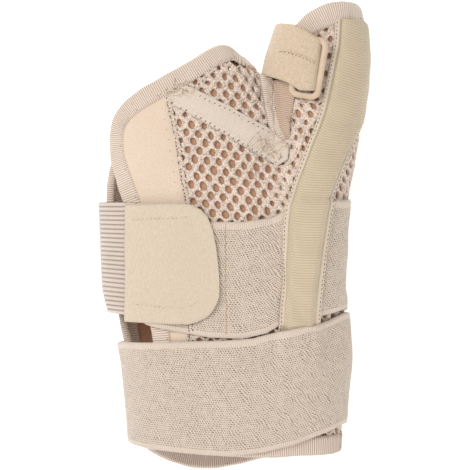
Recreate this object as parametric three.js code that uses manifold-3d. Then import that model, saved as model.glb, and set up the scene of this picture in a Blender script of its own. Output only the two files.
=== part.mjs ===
// Thumb and wrist splint of air mesh, lying on its back with the palm side up.
// Millimetres. +Y runs from the wrist to the thumb tip, +X to the thumb side, +Z out of the palm.

import * as THREE from "three";
import { mergeVertices } from "three/addons/utils/BufferGeometryUtils.js";
import Module from "manifold-3d";

const wasm = await Module();
wasm.setup();

// Overall sizes
const splintLength = 204;
const splintWidth = 118;
const handDepth = 48;
const thumbDepth = 50;
const splitShare = 0.42; // of handDepth: where the palm half meets the back half
const sleeveFloorShare = 0.6; // of thumbDepth: how far the sleeve wraps down the thumb's side

// Cloth walls, from the skin outwards
const liningWall = 1.1;
const meshWall = 1.2;
const bindingWall = 0.8;
const strapWall = 1.8;
const tabWall = 1.8;
const sleeveWall = 2.4;
const thumbStrapWall = 1.6;
const gap = 0.3;

// Widths and places of bands
const bindingWidth = 7.4;
const webTapeWidth = 8.2;
const floorFlat = 3; // how far the round back is pressed flat
const handSides = 24;
const thumbSides = 16;

// Thumb ring and the eye that the strap makes round its bar
const ringWidth = 14;
const ringLength = 28;
const ringBar = 2.4;
const ringCorner = 3;
const ringTilt = 12; // degrees, down towards the web
const ringLean = -6; // degrees, top leaning to the thumb side
const eyeWall = 1.2;
const eyeReach = 8.5; // from the covered bar into the ring's window
const eyeWidth = 21.5;
const eyeTail = 3; // behind the covered bar, sewn to the band

// The form's sections: shares of splintLength, splintWidth and the depth
const handSections = table(["along", "left", "right", "top"], [
  [-0.03, 0.135, 0.872, 0.79],
  [0.043, 0.125, 0.886, 0.83],
  [0.24, 0.1, 0.91, 0.94],
  [0.38, 0.024, 0.898, 1.01],
  [0.577, 0.012, 0.805, 1.04],
  [0.684, 0.008, 0.749, 1.03],
  [0.769, 0.018, 0.716, 1.0],
  [0.82, 0.03, 0.645, 0.97],
  [0.88, 0.066, 0.52, 0.92],
  [0.925, 0.1, 0.465, 0.88],
]);
const thumbSections = table(["along", "left", "right", "low", "top"], [
  [0.2, 0.66, 0.82, 0.4, 0.7],
  [0.363, 0.61, 0.888, 0.3, 0.92],
  [0.577, 0.59, 0.912, 0.28, 1.04],
  [0.652, 0.62, 0.94, 0.3, 1.03],
  [0.73, 0.626, 0.96, 0.31, 1.0],
  [0.81, 0.632, 0.977, 0.32, 0.98],
  [0.89, 0.66, 0.986, 0.33, 0.965],
  [0.96, 0.708, 0.973, 0.35, 0.94],
  [1.03, 0.75, 0.93, 0.4, 0.9],
]);
const handRoundness = 2.4; // superellipse power
const thumbRoundness = 2.1;

// Outlines seen from the palm side: shares of splintWidth and splintLength
const fingerRim = outline([
  [0.042, 0.684], [0.043, 0.722], [0.057, 0.756], [0.094, 0.784], [0.151, 0.809], [0.247, 0.84],
  [0.339, 0.871], [0.413, 0.899], [0.45, 0.907], [0.476, 0.904], [0.498, 0.893], [0.517, 0.881],
]);
const webTop = outline([[0.531, 0.93], [0.561, 0.96], [0.605, 0.96], [0.627, 0.897], [0.631, 0.821]]);
const notch = outline([
  [0.635, 0.782], [0.642, 0.748], [0.659, 0.69], [0.665, 0.672], [0.68, 0.667], [0.69, 0.678],
  [0.682, 0.712], [0.669, 0.752], [0.664, 0.816],
]);
const thumbRim = outline([
  [0.672, 0.855], [0.694, 0.908], [0.72, 0.942], [0.749, 0.962], [0.79, 0.979], [0.841, 0.993],
  [0.889, 0.998], [0.93, 0.995], [0.963, 0.985], [0.989, 0.972], [1.03, 0.95],
]);
const outerSide = outline([[1.22, 0.85], [1.22, 0.085]]);
const palmWristRim = outline([
  [0.904, 0.049], [0.863, 0.038], [0.738, 0.034], [0.598, 0.03], [0.424, 0.036], [0.295, 0.045],
  [0.244, 0.05],
]);
const palmSlit = outline([
  [0.221, 0.15], [0.199, 0.293], [0.17, 0.374], [0.133, 0.47], [0.096, 0.566], [0.066, 0.62],
  [0.049, 0.652],
]);
const backFingerRim = outline([
  [0.037, 0.637], [0.059, 0.679], [0.14, 0.739], [0.277, 0.79], [0.413, 0.83], [0.48, 0.846],
  [0.522, 0.856], [0.534, 0.867], [0.517, 0.881],
]);
const backWeb = outline([[0.653, 0.816]]);
const backWristRim = outline([
  [0.904, 0.049], [0.863, 0.038], [0.7, 0.032], [0.598, 0.028], [0.517, 0.013], [0.428, 0.004],
  [0.354, 0.004], [0.288, 0.013], [0.221, 0.028], [0.17, 0.045], [0.14, 0.073],
]);
const backSlit = outline([
  [0.114, 0.15], [0.096, 0.267], [0.07, 0.342], [0.041, 0.47], [0.026, 0.556], [0.03, 0.603],
]);
const panelSeam = outline([
  [0.225, 0.85], [0.244, 0.782], [0.273, 0.705], [0.295, 0.62], [0.314, 0.566], [0.321, 0.45],
  [0.321, 0.278], [0.332, -0.05],
]);
const webTapeLine = outline([
  [0.28, 0.81], [0.424, 0.761], [0.528, 0.724], [0.6, 0.697], [0.65, 0.675],
]);
const sleeveOutline = outline([
  [0.867, 0.957], [0.86, 0.904], [0.845, 0.855], [0.827, 0.799], [0.79, 0.737], [0.745, 0.669],
  [0.697, 0.583], [0.683, 0.498], [0.668, 0.406], [0.653, 0.31], [0.65, 0.235], [0.798, 0.235],
  [0.804, 0.32], [0.82, 0.417], [0.838, 0.511], [0.852, 0.575], [0.904, 0.643], [0.948, 0.69],
  [0.963, 0.716], [1.04, 0.74], [1.06, 0.85], [1.04, 0.93], [0.985, 0.957],
]);
const thumbStrapOutline = outline([
  [0.55, 0.842], [0.57, 0.895], [0.64, 0.955], [0.7, 0.945], [0.735, 0.934], [0.728, 0.875],
  [0.716, 0.822], [0.66, 0.826],
]);
const webbingOutline = outline([
  [-0.2, 0.572], [0.5, 0.573], [1.1, 0.579], [1.1, 0.36], [0.5, 0.335], [0.1, 0.331], [-0.2, 0.345],
]);
const tabOutline = outline([
  [0.096, 0.568], [0.277, 0.57], [0.332, 0.568], [0.373, 0.556], [0.406, 0.53], [0.421, 0.504],
  [0.432, 0.47], [0.439, 0.421], [0.441, 0.385], [0.432, 0.355], [0.406, 0.331], [0.362, 0.318],
  [0.328, 0.312], [0.236, 0.314], [0.107, 0.321], [0.1, 0.35],
]);
const loopBandOutline = outline([
  [0.14, 0.53], [0.424, 0.53], [0.598, 0.536], [0.683, 0.553], [0.852, 0.575], [1.1, 0.579],
  [1.1, 0.36], [0.9, 0.352], [0.808, 0.332], [0.653, 0.312], [0.598, 0.295], [0.498, 0.282], [0.369, 0.284],
  [0.24, 0.297], [0.14, 0.31],
]);
const wristStrapOutline = outline([
  [-0.2, 0.276], [0.203, 0.274], [0.48, 0.278], [0.572, 0.282], [0.701, 0.301], [0.83, 0.321],
  [0.893, 0.334], [1.2, 0.337], [1.2, 0.1], [0.897, 0.098], [0.849, 0.083], [0.72, 0.056],
  [0.598, 0.038], [0.48, 0.03], [0.258, 0.041], [0.1, 0.055], [-0.2, 0.06],
]);
const webbingFrontEnd = 0.135; // of splintWidth: where the webbing ends under the tab
const ringCentre = { across: 0.782, along: 0.862 };

const cloth = {
  mesh: 0xd6c8be, lining: 0xb88a66, panel: 0xeedac0, binding: 0xe9d6c3, sleeve: 0xddcaa6,
  strap: 0xd6c7b4, webbing: 0xc9b9aa, tab: 0xe6d7bb, thumbStrap: 0xe0c9a6, ring: 0xcdb291,
};

function table(names, rows) {
  return rows.map((row) => Object.fromEntries(names.map((name, i) => [name, row[i]])));
}

function outline(shares) {
  return shares.map(([across, along]) => new THREE.Vector2(across * splintWidth, along * splintLength));
}

function toSolid(geometry) {
  const bare = geometry.clone();
  bare.deleteAttribute("normal");
  bare.deleteAttribute("uv");
  const merged = mergeVertices(bare, 1e-4);
  return new wasm.Manifold(new wasm.Mesh({
    numProp: 3,
    vertProperties: Float32Array.from(merged.attributes.position.array),
    triVerts: Uint32Array.from(merged.index.array),
  }));
}

function toGeometry(solid) {
  const mesh = solid.getMesh();
  const geometry = new THREE.BufferGeometry();
  const places = new Float32Array(mesh.numVert * 3);
  for (let i = 0; i < mesh.numVert; i++) {
    places.set(mesh.vertProperties.subarray(i * mesh.numProp, i * mesh.numProp + 3), i * 3);
  }
  geometry.setAttribute("position", new THREE.BufferAttribute(places, 3));
  geometry.setIndex(new THREE.BufferAttribute(Uint32Array.from(mesh.triVerts), 1));
  geometry.computeVertexNormals();
  return geometry;
}

// A closed tube through rings of points, with a flat cap at each end.
function loft(rings) {
  const sides = rings[0].length;
  const places = rings.flat();
  const faces = [];
  const capCentre = (ring) => ring
    .reduce((sum, point) => sum.add(point), new THREE.Vector3())
    .divideScalar(sides);
  places.push(capCentre(rings[0]), capCentre(rings.at(-1)));
  const first = rings.length * sides;
  for (let side = 0; side < sides; side++) {
    const next = (side + 1) % sides;
    for (let ring = 0; ring < rings.length - 1; ring++) {
      const low = ring * sides;
      const high = low + sides;
      faces.push(low + side, high + side, low + next);
      faces.push(high + side, high + next, low + next);
    }
    const top = first - sides;
    faces.push(first, side, next);
    faces.push(first + 1, top + next, top + side);
  }
  const geometry = new THREE.BufferGeometry().setFromPoints(places);
  geometry.setIndex(faces);
  return toSolid(geometry);
}

function sectionRing(row, low, top, roundness, sides, grow) {
  const middle = ((row.left + row.right) / 2) * splintWidth;
  const halfWidth = ((row.right - row.left) / 2) * splintWidth + grow;
  const height = (low + top) / 2;
  const halfDepth = (top - low) / 2 + grow;
  const floor = strapWall + gap - grow;
  const rounded = (value) => Math.sign(value) * Math.abs(value) ** (2 / roundness);
  return Array.from({ length: sides }, (unused, i) => {
    const turn = (i / sides) * 2 * Math.PI;
    const z = height + halfDepth * rounded(Math.sin(turn));
    return new THREE.Vector3(
      middle + halfWidth * rounded(Math.cos(turn)),
      row.along * splintLength,
      Math.max(z, floor),
    );
  });
}

// Everything inside the form's surface, moved outwards by grow: the hand and the thumb.
function handForm(grow) {
  const low = strapWall + gap - floorFlat;
  return loft(handSections.map((row) =>
    sectionRing(row, low, row.top * handDepth, handRoundness, handSides, grow)));
}

function thumbForm(grow) {
  return loft(thumbSections.map((row) =>
    sectionRing(row, row.low * thumbDepth, row.top * thumbDepth, thumbRoundness, thumbSides, grow)));
}

const forms = new Map();
function form(grow) {
  const key = grow.toFixed(3);
  if (!forms.has(key)) forms.set(key, handForm(grow).add(thumbForm(grow)));
  return forms.get(key);
}

function wall(inside, outside) {
  return form(outside).subtract(form(inside));
}

const below = -10;
const above = handDepth + thumbDepth;
const split = splitShare * handDepth;

function prism(points, low = below, high = above) {
  const geometry = new THREE.ExtrudeGeometry(new THREE.Shape(points), {
    depth: high - low,
    bevelEnabled: false,
  });
  return toSolid(geometry.translate(0, 0, low));
}

// Moves a closed outline outwards by a distance, or inwards when that is negative.
function grown(points, distance) {
  const outwards = THREE.ShapeUtils.isClockWise(points) ? 1 : -1;
  return points.map((point, i) => {
    const before = points.at(i - 1);
    const after = points[(i + 1) % points.length];
    const cameIn = point.clone().sub(before).normalize();
    const goesOut = after.clone().sub(point).normalize();
    const normalIn = new THREE.Vector2(-cameIn.y, cameIn.x);
    const normalOut = new THREE.Vector2(-goesOut.y, goesOut.x);
    const middle = normalIn.clone().add(normalOut).normalize();
    const reach = distance / Math.max(middle.dot(normalIn), 0.5);
    return point.clone().addScaledVector(middle, outwards * reach);
  });
}

// A strip of even width along an open line.
function strip(points, width) {
  const sideAt = (i) => {
    const before = points[Math.max(i - 1, 0)];
    const after = points[Math.min(i + 1, points.length - 1)];
    const along = after.clone().sub(before).normalize();
    return new THREE.Vector2(-along.y, along.x).multiplyScalar(width / 2);
  };
  const near = points.map((point, i) => point.clone().add(sideAt(i)));
  const far = points.map((point, i) => point.clone().sub(sideAt(i)));
  return near.concat(far.reverse());
}

const palmOutline = [
  ...fingerRim, ...webTop, ...notch, ...thumbRim, ...outerSide,
  ...palmWristRim, ...palmSlit,
];
const backOutline = [
  ...backFingerRim, ...webTop, ...backWeb, ...thumbRim, ...outerSide,
  ...backWristRim, ...backSlit,
];
const palmEdges = [
  [...palmWristRim, ...palmSlit, ...fingerRim],
  [...webTop.slice(-1), ...notch, ...thumbRim],
];
const backEdges = [
  [...backWristRim, ...backSlit, ...backFingerRim],
  [...webTop.slice(-1), ...backWeb, ...thumbRim],
];

// The space within a distance of a line, as mitred stretches; a side that a bend folds ends in a point.
function lineSpace(points, distance, low, high) {
  const line = points.filter((point, i) => i === 0 || point.distanceTo(points[i - 1]) > 0.01);
  const directions = line.slice(1).map((point, i) => point.clone().sub(line[i]).normalize());
  const sideways = line.map((unused, i) => {
    const came = directions[Math.max(i - 1, 0)];
    const goes = directions[Math.min(i, directions.length - 1)];
    const middle = new THREE.Vector2(-came.y - goes.y, came.x + goes.x).normalize();
    const slant = Math.max(middle.dot(new THREE.Vector2(-came.y, came.x)), 0.6);
    return middle.multiplyScalar(distance / slant);
  });
  return wasm.Manifold.union(directions.map((direction, i) => {
    const sides = [1, -1].map((sign) => {
      const from = line[i].clone().addScaledVector(sideways[i], sign);
      const to = line[i + 1].clone().addScaledVector(sideways[i + 1], sign);
      const runsOn = to.clone().sub(from).dot(direction) > 0.01;
      return runsOn ? [from, to] : [from.add(to).multiplyScalar(0.5)];
    });
    return prism([line[i], ...sides[0], line[i + 1], ...sides[1].reverse()], low, high);
  }));
}

// The space within a width of the cut edges, palm half and back half.
function nearEdges(width) {
  const palm = palmEdges.map((points) => lineSpace(points, width, split - 0.01, above));
  const back = backEdges.map((points) => lineSpace(points, width, below, split));
  return wasm.Manifold.union([...palm, ...back]);
}

// The cloth's cut shape, grown past its edges; the palm and back halves meet at the split.
function cutShape(past) {
  const palm = prism(grown(palmOutline, past), split - past);
  const back = prism(grown(backOutline, past), below, split + past + 0.01);
  return palm.add(back);
}

const cloths = cutShape(0);
const clothTop = 0;
const meshLow = clothTop - meshWall;
const liningTop = meshLow - gap;
const liningLow = liningTop - liningWall;
const bindingLow = liningLow - gap - bindingWall;
const bindingTop = clothTop + gap + bindingWall;

const panelSide = panelSeam.concat(outline([[-0.3, -0.05], [-0.3, 0.85]]));

function meshShell() {
  const panelSpace = prism(grown(panelSide, gap / 2), split + gap);
  return wall(meshLow, clothTop).intersect(cloths).subtract(panelSpace);
}

function sidePanel() {
  const panelSpace = prism(grown(panelSide, -gap / 2), split + 2 * gap);
  return wall(meshLow, clothTop).intersect(cloths).intersect(panelSpace);
}

function lining() {
  return wall(liningLow, liningTop).intersect(cloths);
}

// The U-shaped tape round every cut edge: the finger and wrist loop, and the thumb loop.
function bindings() {
  const reach = gap + bindingWall;
  const band = cutShape(reach).intersect(nearEdges(bindingWidth));
  const core = wall(liningLow - gap, clothTop + gap).intersect(cutShape(gap));
  const loops = wall(bindingLow, bindingTop).intersect(band).subtract(core).decompose();
  loops.sort((one, other) => other.volume() - one.volume());
  return loops;
}

function webTape() {
  const space = prism(strip(webTapeLine, webTapeWidth), split);
  return wall(clothTop + gap, bindingTop).intersect(space)
    .subtract(nearEdges(bindingWidth + gap));
}

const bandTop = clothTop + gap + strapWall;

const sleeveFloor = sleeveFloorShare * thumbDepth;

// The sleeve lies on the mesh, steps up over the loop band and runs on under the wrist strap.
function staySleeve() {
  const space = prism(sleeveOutline, sleeveFloor);
  const step = prism(grown(loopBandOutline, gap), split);
  const raised = prism(grown(loopBandOutline, gap + sleeveWall / 2), split);
  const edges = nearEdges(bindingWidth + gap);
  const top = form(clothTop + gap + sleeveWall)
    .add(form(bandTop + gap + sleeveWall).intersect(raised));
  const low = form(clothTop + gap).add(form(bandTop + gap).intersect(step));
  return top.subtract(low).intersect(space).subtract(edges);
}

const sleeveSpace = prism(grown(sleeveOutline, gap), split);

// The palm half between two places across the splint.
function palmSpan(from, to) {
  const corners = [new THREE.Vector2(from, -splintLength), new THREE.Vector2(to, -splintLength)];
  corners.push(new THREE.Vector2(to, 2 * splintLength), new THREE.Vector2(from, 2 * splintLength));
  return prism(corners, split - gap - 0.01);
}

const sewnEnd = webbingFrontEnd * splintWidth;

function loopBand() {
  return wall(clothTop + gap, bandTop).intersect(prism(loopBandOutline, split))
    .intersect(palmSpan(sewnEnd, 2 * splintWidth)).subtract(bindingSpace());
}

function bindingSpace() {
  const edges = cutShape(gap + bindingWall + gap).intersect(nearEdges(bindingWidth + gap));
  return form(bindingTop + gap).intersect(edges);
}

function strapWebbing() {
  const back = prism(webbingOutline, below, split - gap);
  const front = prism(webbingOutline, split - gap - 0.01)
    .intersect(palmSpan(-splintWidth, sewnEnd - gap));
  return wall(clothTop + gap, bandTop).intersect(back.add(front)).subtract(bindingSpace());
}

function hookTab() {
  return wall(bandTop + gap, bandTop + gap + tabWall).intersect(prism(tabOutline, split));
}

function wristStrap() {
  const space = prism(wristStrapOutline);
  const sleeveRise = form(clothTop + 2 * gap + sleeveWall).intersect(sleeveSpace);
  const strapRise = form(clothTop + 2 * gap + sleeveWall + strapWall)
    .intersect(prism(grown(sleeveOutline, gap + strapWall), split));
  return form(bandTop).add(strapRise).subtract(form(clothTop + gap)).subtract(sleeveRise)
    .intersect(space).subtract(bindingSpace());
}

// Places a solid made flat round the ring's centre onto the thumb, tilted and leaning.
function ontoThumb(geometry, lift) {
  const turn = new THREE.Euler(0, THREE.MathUtils.degToRad(-ringTilt),
    THREE.MathUtils.degToRad(ringLean), "ZYX");
  const place = new THREE.Vector3(
    ringCentre.across * splintWidth,
    ringCentre.along * splintLength,
    lift,
  );
  const matrix = new THREE.Matrix4().makeRotationFromEuler(turn).setPosition(place);
  return toSolid(geometry.clone().applyMatrix4(matrix));
}

function roundedRectangle(width, height, corner) {
  const shape = new THREE.Shape();
  const x = width / 2;
  const y = height / 2;
  shape.moveTo(-x + corner, -y);
  shape.lineTo(x - corner, -y);
  shape.absarc(x - corner, -y + corner, corner, -Math.PI / 2, 0);
  shape.lineTo(x, y - corner);
  shape.absarc(x - corner, y - corner, corner, 0, Math.PI / 2);
  shape.lineTo(-x + corner, y);
  shape.absarc(-x + corner, y - corner, corner, Math.PI / 2, Math.PI);
  shape.lineTo(-x, -y + corner);
  shape.absarc(-x + corner, -y + corner, corner, Math.PI, Math.PI * 1.5);
  return shape;
}

function ringGeometry(grow) {
  const shape = roundedRectangle(ringWidth + 2 * grow, ringLength + 2 * grow, ringCorner + grow);
  shape.holes.push(roundedRectangle(
    ringWidth - 2 * ringBar - 2 * grow,
    ringLength - 2 * ringBar - 2 * grow,
    Math.max(ringCorner - ringBar - grow, 0.2),
  ));
  const depth = ringBar + 2 * grow;
  return new THREE.ExtrudeGeometry(shape, { depth, bevelEnabled: false, curveSegments: 2 })
    .translate(0, 0, -depth / 2);
}

function boxGeometry(left, right, width, depth) {
  return new THREE.BoxGeometry(right - left, width, depth).translate((left + right) / 2, 0, 0);
}

const eyeDepth = ringBar + 2 * gap + 2 * eyeWall;
const ringRow = thumbSections.reduce((best, row) =>
  Math.abs(row.along - ringCentre.along) < Math.abs(best.along - ringCentre.along) ? row : best);
const ringLift = ringRow.top * thumbDepth + 2 * gap + eyeDepth / 2;

function thumbRing() {
  return ontoThumb(ringGeometry(0), ringLift);
}

// The strap: a band over the trough from the back to the ring, and the folded eye round its bar.
function thumbStrap() {
  const low = bindingTop + gap;
  const thumbWall = thumbForm(low + thumbStrapWall).subtract(thumbForm(low));
  const band = thumbWall.intersect(prism(thumbStrapOutline));
  const bar = -(ringWidth - ringBar) / 2;
  const eyeLeft = bar - ringBar / 2 - gap - eyeTail;
  const eye = ontoThumb(boxGeometry(eyeLeft, bar + eyeReach, eyeWidth, eyeDepth), ringLift);
  const hollow = ontoThumb(
    boxGeometry(bar - ringBar / 2 - gap, bar + eyeReach - eyeWall, eyeWidth * 2, ringBar + 2 * gap),
    ringLift,
  );
  const ringSpace = ontoThumb(ringGeometry(gap), ringLift);
  return band.add(eye).subtract(form(clothTop + gap)).subtract(bindingSpace())
    .subtract(hollow).subtract(ringSpace);
}

function piece(name, solid, color, roughness) {
  const material = new THREE.MeshStandardMaterial({ color, roughness, metalness: 0 });
  const mesh = new THREE.Mesh(toGeometry(solid), material);
  mesh.name = name;
  return mesh;
}

const splint = new THREE.Group();
const [rimBinding, thumbBinding] = bindings();
splint.add(
  piece("mesh_shell", meshShell(), cloth.mesh, 0.9),
  piece("side_panel", sidePanel(), cloth.panel, 0.95),
  piece("lining", lining(), cloth.lining, 0.95),
  piece("rim_binding", rimBinding, cloth.binding, 0.85),
  piece("thumb_binding", thumbBinding, cloth.binding, 0.85),
  piece("web_tape", webTape(), cloth.binding, 0.85),
  piece("stay_sleeve", staySleeve(), cloth.sleeve, 0.9),
  piece("loop_band", loopBand(), cloth.strap, 0.95),
  piece("strap_webbing", strapWebbing(), cloth.webbing, 0.85),
  piece("hook_tab", hookTab(), cloth.tab, 0.95),
  piece("wrist_strap", wristStrap(), cloth.strap, 0.9),
  piece("thumb_ring", thumbRing(), cloth.ring, 0.45),
  piece("thumb_strap", thumbStrap(), cloth.thumbStrap, 0.95),
);

// The origin is the middle of the face that the splint lies on.
const box = new THREE.Box3().setFromObject(splint);
const centre = box.getCenter(new THREE.Vector3());
splint.position.set(-centre.x, -centre.y, -box.min.z);

export default splint;
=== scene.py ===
import math

import bpy
import numpy as np
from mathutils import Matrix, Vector
from mathutils.bvhtree import BVHTree


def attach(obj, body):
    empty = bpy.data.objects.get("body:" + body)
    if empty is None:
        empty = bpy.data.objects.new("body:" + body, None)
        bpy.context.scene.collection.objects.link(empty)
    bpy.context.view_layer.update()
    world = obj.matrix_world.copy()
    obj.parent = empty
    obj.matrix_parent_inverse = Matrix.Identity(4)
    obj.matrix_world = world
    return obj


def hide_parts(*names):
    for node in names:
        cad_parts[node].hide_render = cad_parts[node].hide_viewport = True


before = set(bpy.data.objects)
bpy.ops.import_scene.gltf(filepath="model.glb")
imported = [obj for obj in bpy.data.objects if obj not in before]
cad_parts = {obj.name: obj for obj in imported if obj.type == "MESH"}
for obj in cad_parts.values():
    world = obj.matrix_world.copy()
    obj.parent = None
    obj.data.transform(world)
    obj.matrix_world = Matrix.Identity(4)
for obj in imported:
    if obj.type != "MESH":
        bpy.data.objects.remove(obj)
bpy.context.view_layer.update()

# Sizes in millimetres, as in the part's source
LENGTH = 204.0
WIDTH = 118.0
HAND_DEPTH = 48.0
THUMB_DEPTH = 50.0
SPLIT = 0.42 * HAND_DEPTH
FLOOR = 2.1
HAND_LOW = -0.9
SHIFT = np.array([59.199, 102.21, 0.0])
BINDING_WIDTH = 7.4

# Under the height PRESSED the layers lie closer, so that the lowest one, SUNK below 0, stays on the floor
PRESSED, SUNK = 3.0, 1.7

# Sections: along, left, right, top of the hand; along, left, right, low, top of the thumb
HAND_SECTIONS = np.array([
    [-0.03, 0.135, 0.872, 0.79], [0.043, 0.125, 0.886, 0.83], [0.24, 0.1, 0.91, 0.94],
    [0.38, 0.024, 0.898, 1.01], [0.577, 0.012, 0.805, 1.04], [0.684, 0.008, 0.749, 1.03],
    [0.769, 0.018, 0.716, 1.0], [0.82, 0.03, 0.645, 0.97], [0.88, 0.066, 0.52, 0.92],
    [0.925, 0.1, 0.465, 0.88],
])
THUMB_SECTIONS = np.array([
    [0.2, 0.66, 0.82, 0.4, 0.7], [0.363, 0.61, 0.888, 0.3, 0.92],
    [0.577, 0.59, 0.912, 0.28, 1.04], [0.652, 0.62, 0.94, 0.3, 1.03],
    [0.73, 0.626, 0.96, 0.31, 1.0], [0.81, 0.632, 0.977, 0.32, 0.98],
    [0.89, 0.66, 0.986, 0.33, 0.965], [0.96, 0.708, 0.973, 0.35, 0.94],
    [1.03, 0.75, 0.93, 0.4, 0.9],
])
HAND_POWER = 2.4
THUMB_POWER = 2.1


def places(*shares):
    """Shares across and along, as millimetres."""
    return np.array(shares, float) * [WIDTH, LENGTH]


FINGER_RIM = places(
    (0.042, 0.684), (0.043, 0.722), (0.057, 0.756), (0.094, 0.784), (0.151, 0.809),
    (0.247, 0.84), (0.339, 0.871), (0.413, 0.899), (0.45, 0.907), (0.476, 0.904),
    (0.498, 0.893), (0.514, 0.88),
)
THUMB_RIM = places(
    (0.672, 0.855), (0.694, 0.908), (0.72, 0.942), (0.749, 0.962), (0.79, 0.979),
    (0.841, 0.993), (0.889, 0.998), (0.93, 0.995), (0.963, 0.985), (0.981, 0.975),
)
PALM_WRIST_RIM = places(
    (0.88, 0.043), (0.863, 0.038), (0.738, 0.034), (0.598, 0.03), (0.424, 0.036),
    (0.295, 0.045), (0.244, 0.05),
)
PALM_SLIT = places(
    (0.221, 0.15), (0.199, 0.293), (0.17, 0.374), (0.133, 0.47), (0.096, 0.566),
    (0.066, 0.62), (0.049, 0.652),
)
BACK_FINGER_RIM = places(
    (0.037, 0.637), (0.059, 0.679), (0.14, 0.739), (0.277, 0.79), (0.413, 0.83),
    (0.47, 0.846), (0.505, 0.862), (0.514, 0.88),
)
BACK_WRIST_RIM = places(
    (0.88, 0.043), (0.863, 0.038), (0.7, 0.032), (0.598, 0.028), (0.517, 0.013),
    (0.428, 0.004), (0.354, 0.004), (0.288, 0.013), (0.221, 0.028), (0.17, 0.045), (0.14, 0.073),
)
BACK_SLIT = places(
    (0.114, 0.15), (0.096, 0.267), (0.07, 0.342), (0.041, 0.47), (0.026, 0.556), (0.03, 0.603),
)
PANEL_SEAM = places(
    (0.225, 0.85), (0.244, 0.782), (0.273, 0.705), (0.295, 0.62), (0.314, 0.566),
    (0.321, 0.45), (0.321, 0.278), (0.332, -0.05),
)

# The rings of the hand, of the thumb and of both together, one ring each millimetre along
ROWS = np.arange(-6.0, 212.1, 1.0)
RING = 480


def blurred(values, sigma, closed=False):
    """Values along the first axis, smoothed; sigma is in samples."""
    reach = int(4 * sigma) + 1
    weights = np.exp(-0.5 * (np.arange(-reach, reach + 1) / sigma) ** 2)
    weights /= weights.sum()
    padded = np.pad(
        values, [(reach, reach)] + [(0, 0)] * (values.ndim - 1), "wrap" if closed else "edge"
    )
    if not closed:
        first, last = values[:1], values[-1:]
        padded[:reach] = 2 * first - values[reach:0:-1]
        padded[-reach:] = 2 * last - values[-2:-reach - 2:-1]
    out = np.zeros_like(values, float)
    for i, w in enumerate(weights):
        out += w * padded[i:i + len(values)]
    return out


def run_lengths(points, axis=0):
    """Distances along lines of points, from 0 at the first."""
    steps = np.linalg.norm(np.diff(points, axis=axis), axis=-1)
    first = np.zeros_like(np.take(steps, [0], axis))
    return np.concatenate([first, np.cumsum(steps, axis)], axis)


def along_line(line, run, at):
    """Places at distances along a line whose own points lie at the distances run."""
    return np.stack([np.interp(at, run, line[:, k]) for k in range(line.shape[1])], 1)


def paired(a, b):
    """Two sets of numbers, brought to one shape."""
    return np.broadcast_arrays(np.asarray(a, float), np.asarray(b, float))


def section_rows(table):
    along = table[:, 0] * LENGTH
    wide = np.arange(ROWS[0] - 20, ROWS[-1] + 20.1, 1.0)
    columns = np.stack([np.interp(wide, along, table[:, k]) for k in range(1, table.shape[1])], 1)
    return blurred(columns, 4.0)[20:-20]


def superellipse(left, right, low, top, power, count=1440):
    turn = np.linspace(np.pi, -np.pi, count, endpoint=False)
    across, up = np.cos(turn), np.sin(turn)
    x = (left + right) / 2 + (right - left) / 2 * np.sign(across) * np.abs(across) ** (2 / power)
    z = (low + top) / 2 + (top - low) / 2 * np.sign(up) * np.abs(up) ** (2 / power)
    return np.stack([x, np.maximum(z, FLOOR)], 1)


def evened(ring, smooth):
    """A closed ring with RING points at equal steps, from its leftmost point over the top."""
    closed = np.vstack([ring, ring[:1]])
    run = run_lengths(closed)
    out = along_line(closed, run, np.linspace(0, run[-1], RING, endpoint=False))
    return blurred(out, smooth * RING / run[-1], closed=True) if smooth else out


def within(ring, left, right, low, top, power):
    x = np.abs((ring[:, 0] - (left + right) / 2) / ((right - left) / 2))
    z = np.abs((ring[:, 1] - (low + top) / 2) / ((top - low) / 2))
    return x ** power + z ** power < 1


def longest_run(mask):
    """The indices of the longest closed run where mask is true."""
    count = len(mask)
    start = int(np.argmin(mask))
    turned = np.roll(mask, -start)
    edges = np.flatnonzero(np.diff(np.concatenate([[0], turned.astype(int), [0]])))
    runs = edges.reshape(-1, 2)
    if not len(runs):
        return np.array([], int)
    a, b = runs[np.argmax(runs[:, 1] - runs[:, 0])]
    return (np.arange(a, b) + start) % count


def make_rings():
    hand_rows, thumb_rows = section_rows(HAND_SECTIONS), section_rows(THUMB_SECTIONS)
    hands, thumbs, both = [], [], []
    for (left, right, top), (tl, tr, low, high) in zip(hand_rows, thumb_rows):
        hand = (left * WIDTH, right * WIDTH, HAND_LOW, top * HAND_DEPTH, HAND_POWER)
        thumb = (tl * WIDTH, tr * WIDTH, low * THUMB_DEPTH, high * THUMB_DEPTH, THUMB_POWER)
        hand_ring, thumb_ring = superellipse(*hand), superellipse(*thumb)
        covered = within(hand_ring, *thumb)
        outside = longest_run(~within(thumb_ring, *hand))
        joined = hand_ring
        if covered.any() and len(outside):
            hidden = np.flatnonzero(covered)
            joined = np.vstack([
                hand_ring[:hidden[0]], thumb_ring[outside], hand_ring[hidden[-1] + 1:],
            ])
        hands.append(evened(hand_ring, 0))
        thumbs.append(evened(thumb_ring, 0))
        both.append(evened(joined, 1.6))
    return hands, thumbs, both


def unit(v):
    return v / np.maximum(np.linalg.norm(v, axis=-1, keepdims=True), 1e-12)


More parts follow.
